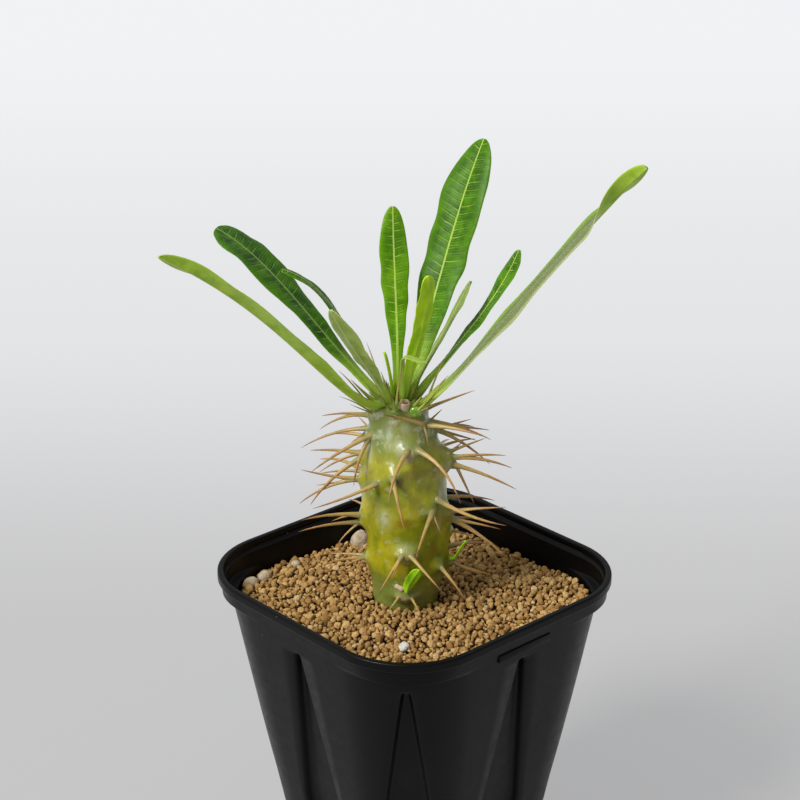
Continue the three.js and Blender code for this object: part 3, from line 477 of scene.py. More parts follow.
def pumice_material(name, stained, clean):
    m = Nodes(name, roughness=0.9, specular_ior_level=0.3)
    stain = m.noise(2.0, 3, 0.6)
    color = m.mix(m.ramp(stain, 0.35, 0.7, 0, 1), stained, clean)
    # Pores, darkened in colour as painted shade in them, and dented in the relief
    pores = m.step(m.cells(0.45), 0.34, 0.16)
    color = m.mix(m.times(pores, 0.5), color, (0.34, 0.29, 0.22))
    relief = m.bump(m.noise(0.6, 4, 0.7), 0.3, 0.6)
    return m.finish(color, None, m.bump(pores, -0.2, 0.6, relief))


def skin_material():
    m = Nodes("trunk_skin", specular_ior_level=0.3, subsurface_weight=0.05, coat_weight=0.25,
              coat_roughness=0.16, subsurface_scale=0.001)
    m.shader.inputs["Subsurface Radius"].default_value = (1.2, 1.6, 0.4)
    broad = m.noise(9, 3, 0.55)
    streaks = m.noise(1.0, 4, 0.6, (0.5, 0.5, 0.16))
    color = m.mix(m.step(broad, 0.36, 0.62), (0.20, 0.235, 0.005), (0.43, 0.385, 0.010))
    color = m.mix(m.ramp(streaks, 0.3, 0.7, 0, 0.4), color, (0.18, 0.20, 0.010))
    brown = m.step(m.noise(6.0, 2, 0.5), 0.54, 0.68)
    color = m.mix(m.times(brown, 0.55), color, (0.24, 0.15, 0.010))
    color = m.mix(m.attribute("green"), color, (0.17, 0.225, 0.05))
    neck = m.attribute("wax")
    color = m.mix(m.times(neck, 0.75), color, (0.15, 0.20, 0.055))
    mottle = m.ramp(m.noise(0.9, 4, 0.7), 0.35, 0.65, 0.3, 1.0)
    patches = m.plus(m.noise(3.2, 5, 0.62), m.times(neck, 0.09))
    streaked = m.ramp(m.noise(1.0, 3, 0.6, (0.9, 0.9, 0.25)), 0.35, 0.6, 0.35, 1)
    silver = m.times(m.step(patches, 0.57, 0.74), mottle)
    # Whitish patches: the wax's silver and bloom, and at some places painted highlights and a
    # painted reflection
    silver = m.math("MAXIMUM", silver, m.times(m.attribute("bloom"), streaked))
    color = m.mix(m.times(silver, 0.75), color, (0.55, 0.60, 0.44))
    cork = m.times(m.attribute("cork"), m.ramp(m.noise(0.6, 3), 0.3, 0.6, 0.5, 1))
    color = m.mix(cork, color, (0.40, 0.31, 0.17))
    # Painted shade in the hollow between two tubercles
    color = m.mix(m.attribute("pit"), color, (0.06, 0.05, 0.008))
    color = m.mix(m.attribute("fresh"), color, (0.15, 0.21, 0.04))
    specks = m.times(m.step(m.cells(1.6), 0.1, 0.05), 0.4)
    color = m.mix(specks, color, (0.5, 0.46, 0.25))
    rough = m.ramp(silver, 0, 1, 0.3, 0.42)
    fine = m.bump(m.noise(0.5, 4, 0.6), 0.06, 0.5)
    wrinkle = m.noise(1.0, 3, 0.5, (1.1, 1.1, 0.4))
    return m.finish(color, rough, m.bump(wrinkle, 0.18, 0.5, fine))


def horn_material(name, foot, body, warm, tip):
    """Horn whose colour changes with the attribute "along", from its foot to its tip."""
    m = Nodes(name, specular_ior_level=0.5, subsurface_weight=0.1, subsurface_scale=0.001)
    along = m.plus(m.attribute("along"), m.ramp(m.noise(2.5, 2), 0.3, 0.7, -0.12, 0.12))
    color = m.mix(m.step(along, 0.0, 0.25), foot, body)
    color = m.mix(m.step(along, 0.25, 0.75), color, warm)
    color = m.mix(m.step(along, 0.75, 1.0), color, tip)
    fibres = m.noise(0.9, 3, 0.6)
    color = m.mix(m.ramp(fibres, 0.4, 0.7, 0, 0.35), color, body)
    rough = m.ramp(m.noise(1.3, 2), 0.3, 0.7, 0.28, 0.45)
    return m.finish(color, rough, m.bump(m.noise(0.3, 3, 0.6), 0.05, 0.6))


def leaf_material(name, deep, bright, vein, vein_share, gloss, rib_share, shine=0.26,
                  edges=()):
    """Blade with a pale midrib and side veins. The UV is the reach from the midrib and
    the way along it in millimetres, and the attribute "open" is the share of the half.
    edges are the colours of the left and the right edge where they differ."""
    m = Nodes(name, specular_ior_level=shine, subsurface_weight=0.2, subsurface_scale=0.001)
    m.shader.inputs["Subsurface Radius"].default_value = (0.9, 1.0, 0.1)
    uv = m.add("ShaderNodeSeparateXYZ", {0: m.add("ShaderNodeUVMap", uv_map="uv").outputs[0]})
    side, way = uv.outputs[0], uv.outputs[1]
    reach = m.math("ABSOLUTE", side)
    hand = m.math("SIGN", side)
    way = m.minus(way, m.times(reach, VEIN_RISE))
    way = m.minus(way, m.times(m.times(reach, reach), VEIN_CURVE))
    way = m.plus(way, m.times(hand, VEIN_SHIFT * VEIN_GAP))
    bent = m.plus(way, m.ramp(m.noise(6.0, 1), 0.25, 0.75, -0.35, 0.35))
    open_ = m.attribute("open")

    def lines(gap, width, seed, low):
        """Nearness to the closest line, and that line's own strength."""
        turn = m.math("DIVIDE", bent, gap)
        number = m.math("FLOOR", m.plus(turn, 0.5))
        off = m.times(m.math("ABSOLUTE", m.minus(turn, number)), gap)
        pick = m.add("ShaderNodeTexWhiteNoise", {"W": m.plus(number, m.times(hand, seed))},
                     noise_dimensions="1D")
        strength = m.ramp(pick.outputs[0], 0, 1, low, 1.0)
        return m.times(m.step(off, width, 0.3 * width), strength), off

    main, off = lines(VEIN_GAP, 0.17, 37.3, 0.1)
    weak, weak_off = lines(VEIN_GAP / 3, 0.12, 91.7, -0.4)
    broken = m.ramp(m.noise(1.8, 2, 0.5), 0.35, 0.6, 0.4, 1.0)
    fade = m.times(m.step(open_, 0.88, 0.3), m.times(broken, vein_share))
    main = m.times(main, fade)
    weak = m.times(m.math("MAXIMUM", weak, 0.0), m.times(fade, 0.45))
    patch = m.step(m.noise(5, 4, 0.6), 0.35, 0.65)
    color = m.mix(patch, deep, bright)
    # The blade a little darker between the fine veins: painted shade of its quilting
    color = m.mix(m.times(m.step(weak_off, 0.05, 0.4), 0.12), color, deep)
    color = m.mix(m.times(m.step(open_, 0.5, 0.98), 0.6), color, bright)
    if edges:
        turned = m.times(hand, open_)
        color = m.mix(m.step(turned, 0.35, 0.7), color, edges[0])
        color = m.mix(m.step(turned, -0.7, -0.95), color, edges[1])
    color = m.mix(main, color, vein)
    color = m.mix(weak, color, vein)
    midrib = m.step(m.math("DIVIDE", reach, m.attribute("rib")), 1.05, 0.75)
    color = m.mix(m.times(midrib, rib_share), color, vein)
    foot = m.times(m.attribute("foot"), 0.85)
    color = m.mix(foot, color, (0.38, 0.56, 0.05))
    rough = m.ramp(m.noise(1.2, 3), 0.3, 0.7, gloss, gloss + 0.14)
    fine = m.bump(m.noise(0.35, 3, 0.6), 0.03, 0.5)
    quilt = m.plus(m.step(off, 0.0, 0.7), m.times(m.step(weak_off, 0.0, 0.3), 0.25))
    return m.finish(color, rough, m.bump(quilt, 0.06, 0.15 + 0.25 * vein_share, fine))


def bud_material():
    m = Nodes("fresh_bud", specular_ior_level=0.5, coat_weight=0.5, coat_roughness=0.12)
    patch = m.step(m.noise(1.2, 3, 0.55), 0.38, 0.62)
    color = m.mix(patch, (0.10, 0.24, 0.006), (0.24, 0.42, 0.02))
    rough = m.ramp(m.noise(0.8, 2), 0.3, 0.7, 0.2, 0.34)
    return m.finish(color, rough, m.bump(m.noise(0.5, 3, 0.6), 0.08, 0.5))


# Pot

def pot_section(drop):
    if drop <= BAND[-1, 0]:
        half = np.interp(drop, BAND[:, 0], BAND[:, 1])
        radius = np.interp(drop, BAND[:, 0], BAND[:, 2])
        if drop > LEDGE_TOP:
            share = smoothstep(drop, LEDGE_TOP, LEDGE_FOOT)
            radius = BAND[-2, 2] + (BAND[-1, 2] - BAND[-2, 2]) * share
        return half, radius
    below = drop - BODY_TOP_DROP
    return BODY_HALF - BODY_TAPER * below, BODY_RADIUS - BODY_RADIUS_TAPER * below


def flute_stations(flute_half):
    """Distances from a flute's middle, over its rounded wall, and their shares of its depth."""
    low, high = flute_half - FLUTE_WALL - FLUTE_ROUND, flute_half + FLUTE_ROUND
    wall = np.linspace(low, high, 7)
    share = smoothstep(high - wall, 0, high - low)
    floor = np.linspace(0, low, 3, endpoint=False)
    return np.concatenate([floor, wall]), np.concatenate([np.ones(3), share])


def pot_ring(drop, inset):
    half, radius = pot_section(drop)
    half, radius = half - inset, radius - inset
    depth = FLUTE_DEPTH * smoothstep(drop, FLUTE_START, FLUTE_FULL)
    fluted = min(max(drop, FLUTE_START), FLUTE_WIDEST) - FLUTE_START
    reach, share = flute_stations(FLUTE_HALF + FLUTE_WIDENING * fluted + inset * 0.9)
    straight = half - radius
    side = [(-u, -half + depth * d) for u, d in zip(reach[:0:-1], share[:0:-1])]
    side += [(u, -half + depth * d) for u, d in zip(reach, share)]
    side += [(u, -half) for u in np.linspace(reach[-1], straight, 4)[1:]]

    def arc(angle, d=0.0):
        r = radius - depth * d
        return straight + r * math.cos(angle), -straight + r * math.sin(angle)

    middle, edge = -math.pi / 4, reach[-1] / radius
    side += [arc(angle) for angle in np.linspace(-math.pi / 2, middle - edge, 8)[1:-1]]
    side += [arc(middle - u / radius, d) for u, d in zip(reach[::-1], share[::-1])]
    side += [arc(middle + u / radius, d) for u, d in zip(reach[1:], share[1:])]
    side += [arc(angle) for angle in np.linspace(middle + edge, 0, 8)[1:-1]]
    side += [(half, v) for v in np.linspace(-straight, -reach[-1], 4)[:-1]]
    x, y = np.array(side).T
    quarters = [(c * x - s * y, s * x + c * y) for c, s in ((1, 0), (0, 1), (-1, 0), (0, -1))]
    ring = np.concatenate([np.stack(q, axis=1) for q in quarters])
    return np.column_stack([ring, np.full(len(ring), POT_HEIGHT - drop)])


def make_pot():
    # Stations of the wall: drop below the rim, and inset from the pot's outline
    lip = [(0.0, 0.9), (0.0, 0.55), (0.05, 0.3), (0.16, 0.13), (0.34, 0.03), (0.6, 0)]
    shared = [4, 5.2, 6.2, 6.5, *np.linspace(LEDGE_TOP, LEDGE_FOOT, 8), 8, 9, 10,
              *np.linspace(FLUTE_START, FLUTE_FULL, 9)]
    outer = lip + [(d, 0) for d in (1.2, 1.8, 2.2)]
    outer += [(2.4, 0.05), (2.5, 0.15), (2.56, 0.08), (2.7, 0), (2.9, 0)]
    outer += [(d, 0) for d in (*shared, 13, 15, 18, 22, 26, *range(30, 97, 5), 96.6)]
    outer += [(97.2, 0.06), (97.6, 0.22), (97.85, 0.45), (POT_HEIGHT, FOOT_INSET)]
    inner = [(0.0, 0.9), (0.0, 1.25), (0.05, 1.5), (0.16, 1.67), (0.34, 1.77), (0.6, RIM_WALL)]
    inner += [(1.2, 1.7), (2.0, 1.5), (2.6, 1.3)]
    inner += [(d, POT_WALL) for d in (2.9, *shared, 14, 20, 30, 45, 60, 75, 90)]
    inner += [(POT_HEIGHT - FLOOR_THICKNESS, POT_WALL)]
    rings = [pot_ring(d, i) for d, i in outer[::-1] + inner[1:]]
    points = np.concatenate([*rings, [[0, 0, 0]], [[0, 0, FLOOR_THICKNESS]]])
    pot = add_mesh("pot_shell", points, tube_faces(len(rings), len(rings[0])), [POT_PLASTIC])
    cutters = []
    for x, y in ((1, 1), (-1, 1), (-1, -1), (1, -1)):
        hole = bmesh.new()
        bmesh.ops.create_cone(hole, cap_ends=True, segments=40, radius1=HOLE_RADIUS * MM,
                              radius2=HOLE_RADIUS * MM, depth=4 * FLOOR_THICKNESS * MM)
        bmesh.ops.translate(hole, verts=hole.verts, vec=Vector((x, y, 0)) * HOLE_OFFSET * MM)
        cutters.append((object_of(hole, "hole"), "DIFFERENCE"))
    tab = bmesh.new()
    bmesh.ops.create_cube(tab, size=1)
    bmesh.ops.scale(tab, verts=tab.verts, vec=Vector(TAB_SIZE) * MM)
    bmesh.ops.bevel(tab, geom=tab.edges[:], offset=0.22 * MM, segments=3, profile=0.5,
                    affect="EDGES")
    y = -pot_section(TAB_DROP)[0] - TAB_PROUD + TAB_SIZE[1] / 2
    bmesh.ops.translate(tab, verts=tab.verts, vec=Vector((0, y, POT_HEIGHT - TAB_DROP)) * MM)
    cutters.append((object_of(tab, "tab"), "UNION"))
    combine(pot, cutters)
    ride(pot, "pot_plastic", "pot")


def object_of(bm, name):
    mesh = bpy.data.meshes.new(name)
    bm.to_mesh(mesh)
    bm.free()
    return add_object(name, mesh)


def combine(piece, others):
    """Cuts or joins the other objects with the piece, and removes them."""
    for other, operation in others:
        modifier = piece.modifiers.new(operation, "BOOLEAN")
        modifier.operation, modifier.object, modifier.solver = operation, other, "EXACT"
    evaluated = piece.evaluated_get(bpy.context.evaluated_depsgraph_get())
    mesh = bpy.data.meshes.new_from_object(evaluated)
    piece.modifiers.clear()
    piece.data = mesh
    mesh.polygons.foreach_set("use_smooth", [True] * len(mesh.polygons))
    mesh.set_sharp_from_angle(angle=math.radians(50))
    for other, _ in others:
        bpy.data.objects.remove(other)


# Soil

def soil_level(x, y):
    slope = SOIL_SLOPE * np.maximum(0, x + y)
    return POT_HEIGHT - SOIL_DROP - slope + SOIL_ROLL * np.sin(0.16 * x + 1) * np.sin(0.14 * y)


def soil_reach(x, y):
    """Room left between a point and the pot's inner wall at the soil's level."""
    half, radius = SOIL_HALF - POT_WALL, SOIL_RADIUS - POT_WALL
    dx, dy = np.abs(x) - (half - radius), np.abs(y) - (half - radius)
    outside = np.hypot(np.maximum(dx, 0), np.maximum(dy, 0))
    return radius - outside


def make_soil_bed():
    """Body of the filling below the loose grains, painted dark as the shade deep in the gaps
    between them.
    """
    drops = [POT_HEIGHT - FLOOR_THICKNESS - BED_FOOT_GAP, 60, 40, 25, FLUTE_FULL, FLUTE_START]
    rings = [pot_ring(d, POT_WALL + BED_GAP) for d in drops]
    rim = rings[-1].copy()
    for share in (1, 0.97, 0.9, 0.8, 0.7, 0.6, 0.5, 0.4, 0.3, 0.2, 0.1):
        ring = rim.copy()
        ring[:, :2] *= share
        level = soil_level(ring[:, 0], ring[:, 1]) - BED_SINK
        ring[:, 2] = np.maximum(level, rim[:, 2] - 3) if share == 1 else level
        rings.append(ring)
    foot = [0, 0, rings[0][0, 2]]
    top = [0, 0, float(soil_level(0, 0)) - BED_SINK]
    points = np.concatenate([*rings, [foot], [top]])
    bed = add_mesh("soil_bed", points, tube_faces(len(rings), len(rim)), [GRAIN_PAINTED_SHADE])
    ride(bed, "soil", "soil")


def unit_ball(steps):
    bm = bmesh.new()
    bmesh.ops.create_icosphere(bm, subdivisions=steps, radius=1)
    points = np.array([v.co[:] for v in bm.verts])
    faces = [[v.index for v in f.verts] for f in bm.faces]
    bm.free()
    return points, faces


def grain_places(rng, sizes, tightness, places=()):
    """Places for round grains of given radii, largest first, none much inside another."""
    cells, places = {}, list(places)
    for x, y, r in places:
        cells.setdefault((int(x // GRAIN_CELL), int(y // GRAIN_CELL)), []).append((x, y, r))
    for radius, tries in sizes:
        spots = rng.uniform(-GRAIN_FIELD, GRAIN_FIELD, (tries, 2))
        radii = radius * rng.uniform(0.85, 1.15, tries)
        room = soil_reach(spots[:, 0], spots[:, 1]) - radii * GRAIN_FROM_WALL
        for (x, y), r, free in zip(spots.tolist(), radii.tolist(), room.tolist()):
            if free < 0 or trunk_gap(x, y) < r * GRAIN_FROM_TRUNK:
                continue
            i, j = int(x // GRAIN_CELL), int(y // GRAIN_CELL)
            near = (place for a in (-1, 0, 1) for b in (-1, 0, 1)
                    for place in cells.get((i + a, j + b), ()))
            if all((x - u) ** 2 + (y - v) ** 2 > (tightness * (r + s)) ** 2 for u, v, s in near):
                cells.setdefault((i, j), []).append((x, y, r))
                places.append((x, y, r))
    return places


def trunk_gap(x, y):
    """Distance from the trunk's wall at the soil's level."""
    c, s = math.cos(-PLANT_TURN), math.sin(-PLANT_TURN)
    px, py = c * x - s * y, s * x + c * y
    return math.hypot(px - TRUNK_MIDDLE_AT_SOIL, py) - TRUNK_RADIUS_AT_SOIL


def grain_kinds(rng, steps):
    """Lumps with flattened sides, as the shapes that all grains are turned copies of."""
    ball, faces = unit_ball(steps)
    kinds = []
    for kind in range(GRAIN_KINDS):
        sides = unit(rng.normal(size=(GRAIN_CUTS, 3)))
        depths = rng.uniform(0.6, 0.92, GRAIN_CUTS)
        reach = depths / np.maximum(ball @ sides.T, 0.05)
        cut = np.minimum(reach.min(1), 1.0)
        rough = 0.14 * noise_at(ball, 0.7, kind) + 0.08 * noise_at(ball, 0.33, kind + 20)
        kinds.append(ball * (cut * 1.12 + rough)[:, None])
    return kinds, np.array(faces)


def make_grains(name, rng, places, lie, material, steps):
    kinds, ball_faces = grain_kinds(rng, steps)
    points, faces = [], []
    for index, (x, y, r) in enumerate(places):
        stretch = rng.uniform((0.95, 0.8, 0.7), (1.25, 1.1, 1.0))
        shape = kinds[rng.integers(len(kinds))] * stretch
        turn = Matrix.Rotation(rng.uniform(0, 2 * math.pi), 3, Vector(rng.normal(size=3)))
        shape = shape @ np.array(turn) * r
        z = soil_level(x, y) + lie[0] + lie[1] * rng.uniform(-1, 1)
        points.append(shape + (x, y, z))
        faces.append(ball_faces + index * len(shape))
    piece = add_mesh(name, np.concatenate(points), np.concatenate(faces).tolist(), [material])
    ride(piece, "soil")


def make_soil():
    make_soil_bed()
    rng = np.random.default_rng(GRAIN_SEED)
    bed = grain_places(rng, BED_GRAINS, BED_TIGHTNESS)
    # The lowest grains take the grit painted dark as the shade in the gaps
    make_grains("soil_grains_bed", rng, bed, BED_LIE, GRAIN_PAINTED_SHADE, 2)
    large = grain_places(rng, LARGE_GRAINS, GRAIN_TIGHTNESS)
    small = grain_places(rng, SMALL_GRAINS, GRAIN_TIGHTNESS, large)[len(large):]
    near = [p for p in large if p[0] + p[1] < 0]
    far = [p for p in large if p[0] + p[1] >= 0]
    make_grains("soil_grains_near", rng, near, LARGE_LIE, GRAIN, 3)
    make_grains("soil_grains_far", rng, far, LARGE_LIE, GRAIN, 3)
    make_grains("soil_grains_small", rng, small, SMALL_LIE, GRAIN, 2)


def make_pebble(index, material, x, y, rx, ry, rz):
    ball, faces = unit_ball(5)
    rough = 0.09 * noise_at(ball, 0.8, index) + 0.05 * noise_at(ball, 0.3, index + 9)
    rough += 0.02 * noise_at(ball, 0.12, index + 17)
    centre = np.array([x, y, float(soil_level(x, y)) + PEBBLE_LIFT])
    points = ball * (0.96 + rough[:, None]) * (rx, ry, rz) + centre
    pebble = add_mesh(f"pumice_pebble_{index}", points, faces, [material])
    ride(pebble, "pumice", f"pumice_{index}")


# Trunk

def random_from(seed):
    state = seed
    while True:
        state = (state * 1664525 + 1013904223) % 4294967296
        yield state / 4294967296


def rear_tubercles():
    """Tubercles of the unseen side with two spines each, spread by the golden ratio."""
    draw = random_from(REAR_SEED)
    made = []
    for i in range(REAR_COUNT):
        azimuth = REAR_AZIMUTH + REAR_SWEEP * ((i * REAR_STEP) % 1)
        spines = []
        for hand in (-1, 1):
            heading = azimuth + hand * (14 + 14 * next(draw))
            pitch = -26 + 34 * next(draw)
            spines.append((heading, pitch, 12 + 7 * next(draw), 0.02 + 0.06 * next(draw)))
        made.append(((azimuth, REAR_LOWEST + REAR_RISE * i), spines))
    return made


TRUNK_TUBERCLES = TUBERCLES + rear_tubercles()
ALL_TUBERCLES = TRUNK_TUBERCLES + CROWN_TUBERCLES


def way_around(azimuth, radius, at):
    return np.radians((azimuth - at + 540) % 360 - 180) * radius


def distance_on_trunk(azimuth, height, radius, at):
    return np.hypot(way_around(azimuth, radius, at[0]), height - at[1])


def trunk_points(azimuth, height):
    """Trunk surface in the plant's frame, for arrays of degrees and millimetres."""
    radius = np.interp(height, TRUNK[:, 0], TRUNK[:, 2])
    angle = np.radians(azimuth)
    lobe = TRUNK_LOBE * np.sin(TRUNK_LOBES * angle + TRUNK_TWIST * height)
    bump = np.zeros_like(radius)
    for at, _ in ALL_TUBERCLES:
        d = distance_on_trunk(azimuth, height, radius, at)
        bump += np.exp(-(d / TUBERCLE_SPREAD) ** 2)
    bump = TUBERCLE_RISE * np.minimum(bump, TUBERCLE_OVERLAP)
    reach = radius + np.minimum(radius / FULL_TUBERCLE_RADIUS, 1) * (lobe + bump)
    middle = np.interp(height, TRUNK[:, 0], TRUNK[:, 1])
    return np.stack([middle + reach * np.cos(angle), reach * np.sin(angle), height], axis=-1)


def direction(heading, pitch):
    h, p = math.radians(heading), math.radians(pitch)
    return np.array([math.cos(p) * math.cos(h), math.cos(p) * math.sin(h), math.sin(p)])


def make_trunk_skin():
    azimuth = np.linspace(0, 360, SKIN_COLUMNS, endpoint=False)
    foot, top = TRUNK[0, 0], TRUNK[-1, 0]
    crown = top - (top - CROWN_EDGE) * (1 - np.linspace(0, 1, CROWN_ROWS)) ** 2
    wall = np.linspace(foot, CROWN_EDGE, SKIN_ROWS - CROWN_ROWS, endpoint=False)
    height = np.concatenate([wall, crown])
    a, h = np.meshgrid(azimuth, height)
    a, h = a.ravel(), h.ravel()
    points = trunk_points(a, h)
    radius = np.interp(h, TRUNK[:, 0], TRUNK[:, 2])
    out = np.stack([np.cos(np.radians(a)), np.sin(np.radians(a)), np.zeros_like(a)], axis=-1)
    rise = 0.16 * noise_at(points, 3.4, 1) + 0.06 * noise_at(points * (1, 1, 0.6), 1.1, 2)
    cork = np.zeros_like(a)
    for *at, size, lift in SCARS:
        d = distance_on_trunk(a, h, radius, at) / size
        rise += lift * (np.exp(-(d / 0.9) ** 4) - 0.45 * np.exp(-(d / 0.45) ** 2))
        cork = np.maximum(cork, np.exp(-(d / 0.85) ** 6))
    near = np.zeros_like(a)
    for at, _ in ALL_TUBERCLES:
        d = distance_on_trunk(a, h, radius, at)
        near = np.maximum(near, np.exp(-(d / 2.6) ** 2))
        rise += 0.35 * np.exp(-(d / 1.2) ** 2)
        cork = np.maximum(cork, 0.75 * np.exp(-(d / 1.1) ** 4))
    points += out * (rise * np.minimum(radius / FULL_TUBERCLE_RADIUS, 1))[:, None]
    points[:, 2] -= CROWN_SINK * np.maximum(h - CROWN_SHOULDER, 0)
    fresh = smoothstep(h, FRESH_FROM, FRESH_TO)
    wax = np.clip(0.35 * near + 0.8 * smoothstep(h, 32, 41), 0, 1) * (1 - fresh)
    # Where the shade in the hollow between two tubercles is painted
    pit = 0.65 * np.exp(-(distance_on_trunk(a, h, radius, PIT_SHADE) / 1.5) ** 4)
    green = np.clip(0.8 * smoothstep(-h, -5, 3) - 0.2 * near, 0, 1)
    # Whitish wax bloom, with painted highlights and a painted reflection at some of its places
    bloom = np.zeros_like(a)
    for at, level, wide, tall, strength in BLOOM_AND_HIGHLIGHTS:
        across = way_around(a, radius, at) / wide
        bloom = np.maximum(bloom, strength * np.exp(-across ** 2 - ((h - level) / tall) ** 2))
    ends = [points[:SKIN_COLUMNS].mean(0), points[-SKIN_COLUMNS:].mean(0)]
    points = np.concatenate([points, ends])
    values = {"wax": wax, "cork": cork, "pit": pit, "green": green, "bloom": bloom,
              "fresh": fresh}
    values = {key: np.append(value, [0, value[-1]]) for key, value in values.items()}
    skin = add_mesh("trunk_skin", in_pot(points), tube_faces(SKIN_ROWS, SKIN_COLUMNS), [SKIN],
                    values=values)
    ride(skin, "trunk_skin", "trunk")


def tube(centres, radii, sides, seed):
    """Points and faces of a closed tapering tube along centres, with its last point a tip."""
    tangents = unit(np.gradient(centres, axis=0))
    helper = np.array([1.0, 0, 0]) if abs(tangents[-1, 2]) > 0.8 else np.array([0, 0, 1.0])
    u = unit(np.cross(helper, tangents))
    v = np.cross(tangents, u)
    angle = np.linspace(0, 2 * math.pi, sides, endpoint=False)
    oval = 1 + 0.1 * np.sin(2 * angle + seed) + 0.04 * np.sin(3 * angle + 2 * seed)
    ring = np.cos(angle)[:, None, None] * u + np.sin(angle)[:, None, None] * v
    points = centres + ring * radii[None, :, None] * oval[:, None, None]
    points = points.transpose(1, 0, 2).reshape(-1, 3)
    ends = [centres[0], centres[-1] + tangents[-1] * radii[-1]]
    return np.concatenate([points, ends]), tube_faces(len(centres), sides)


def add_tubes(name, tubes, sides, stations, material, slot):
    """Piece of many tapering tubes, given as centres and radii."""
    points, faces, count = [], [], 0
    for seed, centres, radii in tubes:
        made, made_faces = tube(centres, radii, sides, seed)
        points.append(made)
        faces += [tuple(i + count for i in face) for face in made_faces]
        count += len(made)
    along = (np.repeat(stations, sides).tolist() + [0, 1]) * len(tubes)
    piece = add_mesh(name, in_pot(np.concatenate(points)), faces, [material],
                     values={"along": along})
    ride(piece, slot)


def make_spines(name, tubercles, share, material):
    tubes = []
    for index, (at, spines) in enumerate(tubercles):
        foot = trunk_points(np.array([float(at[0])]), np.array([float(at[1])]))[0]
        for number, (heading, pitch, length, bow) in enumerate(spines):
            way = direction(heading, pitch)
            lift = unit(np.array([0, 0, 1.0]) - way * way[2])
            t = SPINE_STATIONS[:, None]
            centres = foot + way * length * t + lift * bow * length * 4 * t * (1 - t)
            centres[0] = foot - direction(at[0], 0) * SPINE_ROOT
            thick = share * min(max(length / LONG_SPINE, THINNEST_SPINE), 1)
            sway = np.cross(way, lift) * SPINE_SWAY * length * math.sin(1.7 * index + number)
            centres += sway * np.sin(math.pi * np.clip(t, 0, 1) * 1.3)
            tubes.append((index + 2.3 * number, centres, SPINE_RADII * thick))
    add_tubes(name, tubes, SPINE_SIDES, SPINE_STATIONS, material, "trunk_skin")


def make_bracts():
    """Short young leaf bases and their horns that fill the crown between the leaves."""
    draw = random_from(BRACT_SEED)
    t = np.linspace(0, 1, 9)[:, None]
    tubes = []
    for i in range(BRACTS):
        out = math.sqrt((i + 0.5) / BRACTS)
        azimuth = GOLDEN_ANGLE * i
        heading = azimuth + 24 * (next(draw) - 0.5)
        way = direction(heading, 78 - 48 * out + 10 * next(draw))
        foot = BRACT_RING * out * direction(azimuth, 0) + (CROWN_X, 0, BRACT_FOOT)
        length = 4 + 7 * next(draw)
        centres = foot + way * length * t + np.array([0, 0, 0.12]) * length * t * t
        radii = (0.85 - 0.2 * out) * (1 - t[:, 0] ** 1.3) ** 0.9 + 0.03
        tubes.append((i, centres, radii))
    add_tubes("crown_bracts", tubes, BRACT_SIDES, t[:, 0], YOUNG_HORN, "leaf")


def make_bud(name, centre, radii, seed):
    ball, faces = unit_ball(4)
    shape = ball * (1 + 0.06 * noise_at(ball, 0.7, seed)[:, None]) * radii
    piece = add_mesh(name, in_pot(shape + centre), faces, [BUD])
    ride(piece, "trunk_skin")


def make_stub(name, foot, top, radius, seed):
    """Dried stub: a ragged short stem with a sunken end, painted dark there as shade in the
    hollow.
    """
    foot, top = np.array(foot), np.array(top)
    shares = np.array([0, 0.3, 0.6, 0.85, 1.0, 1.04, 1.0, 0.8])
    widths = np.array([1.25, 1.1, 1.0, 1.05, 0.95, 0.75, 0.55, 0.3])
    centres = foot + (top - foot) * shares[:, None]
    way = unit(top - foot)
    u = unit(np.cross(way, (0, 1, 0)))
    v = np.cross(way, u)
    sides, rows = 28, len(shares)
    angle = np.linspace(0, 2 * math.pi, sides, endpoint=False)
    ring = np.cos(angle)[:, None] * u + np.sin(angle)[:, None] * v
    points = (centres[:, None, :] + ring[None] * (widths * radius)[:, None, None]).reshape(-1, 3)
    rough = 0.22 * radius * noise_at(points, 0.8 * radius, seed)
    points += rough[:, None] * np.tile(ring, (rows, 1))
    points = np.concatenate([points, centres[:1], centres[-1:]])
    along = np.append(np.repeat(np.linspace(0, 1, rows), sides), [0, 1])
    piece = add_mesh(name, in_pot(points), tube_faces(rows, sides), [STUB],
                     values={"along": along})
    ride(piece, "trunk_skin")


# Leaves

def curve_points(control, t):
    p = np.array(control, dtype=float)
    t = t[:, None]
    s = 1 - t
    point = s ** 3 * p[0] + 3 * s * s * t * p[1] + 3 * s * t * t * p[2] + t ** 3 * p[3]
    slope = 3 * (s * s * (p[1] - p[0]) + 2 * s * t * (p[2] - p[1]) + t * t * (p[3] - p[2]))
    return point, unit(slope)


def blade_shape(t, widest, fullness):
    rise = np.sin(math.pi / 2 * np.minimum(t / widest, 1)) ** fullness
    past = np.maximum(0, (t - widest) / (1 - widest))
    return (PETIOLE_SHARE + (1 - PETIOLE_SHARE) * rise) * np.sqrt(1 - past ** 2.6)


def vein_offset(side, way):
    """Distance from the nearest side vein."""
    reach, shift = np.abs(side), VEIN_SHIFT * np.sign(side)
    turn = (way - VEIN_RISE * reach - VEIN_CURVE * reach ** 2) / VEIN_GAP + shift
    return np.abs(turn - np.floor(turn + 0.5)) * VEIN_GAP


def leaf_axes(t, control, angle):
    """Middle line of a blade, its sideways direction and its normal, rolled by angle."""
    centre, tangent = curve_points(control, t)
    heading = np.array(control[3], float) - np.array(control[0], float)
    heading[2] = 0
    heading = unit(heading)
    flat = np.array([-heading[1], heading[0], 0])
    side = unit(flat - tangent * (tangent @ flat)[:, None])
    up = np.cross(tangent, side)
    cos, sin = np.cos(angle)[:, None], np.sin(angle)[:, None]
    return centre, side * cos + up * sin, up * cos - side * sin


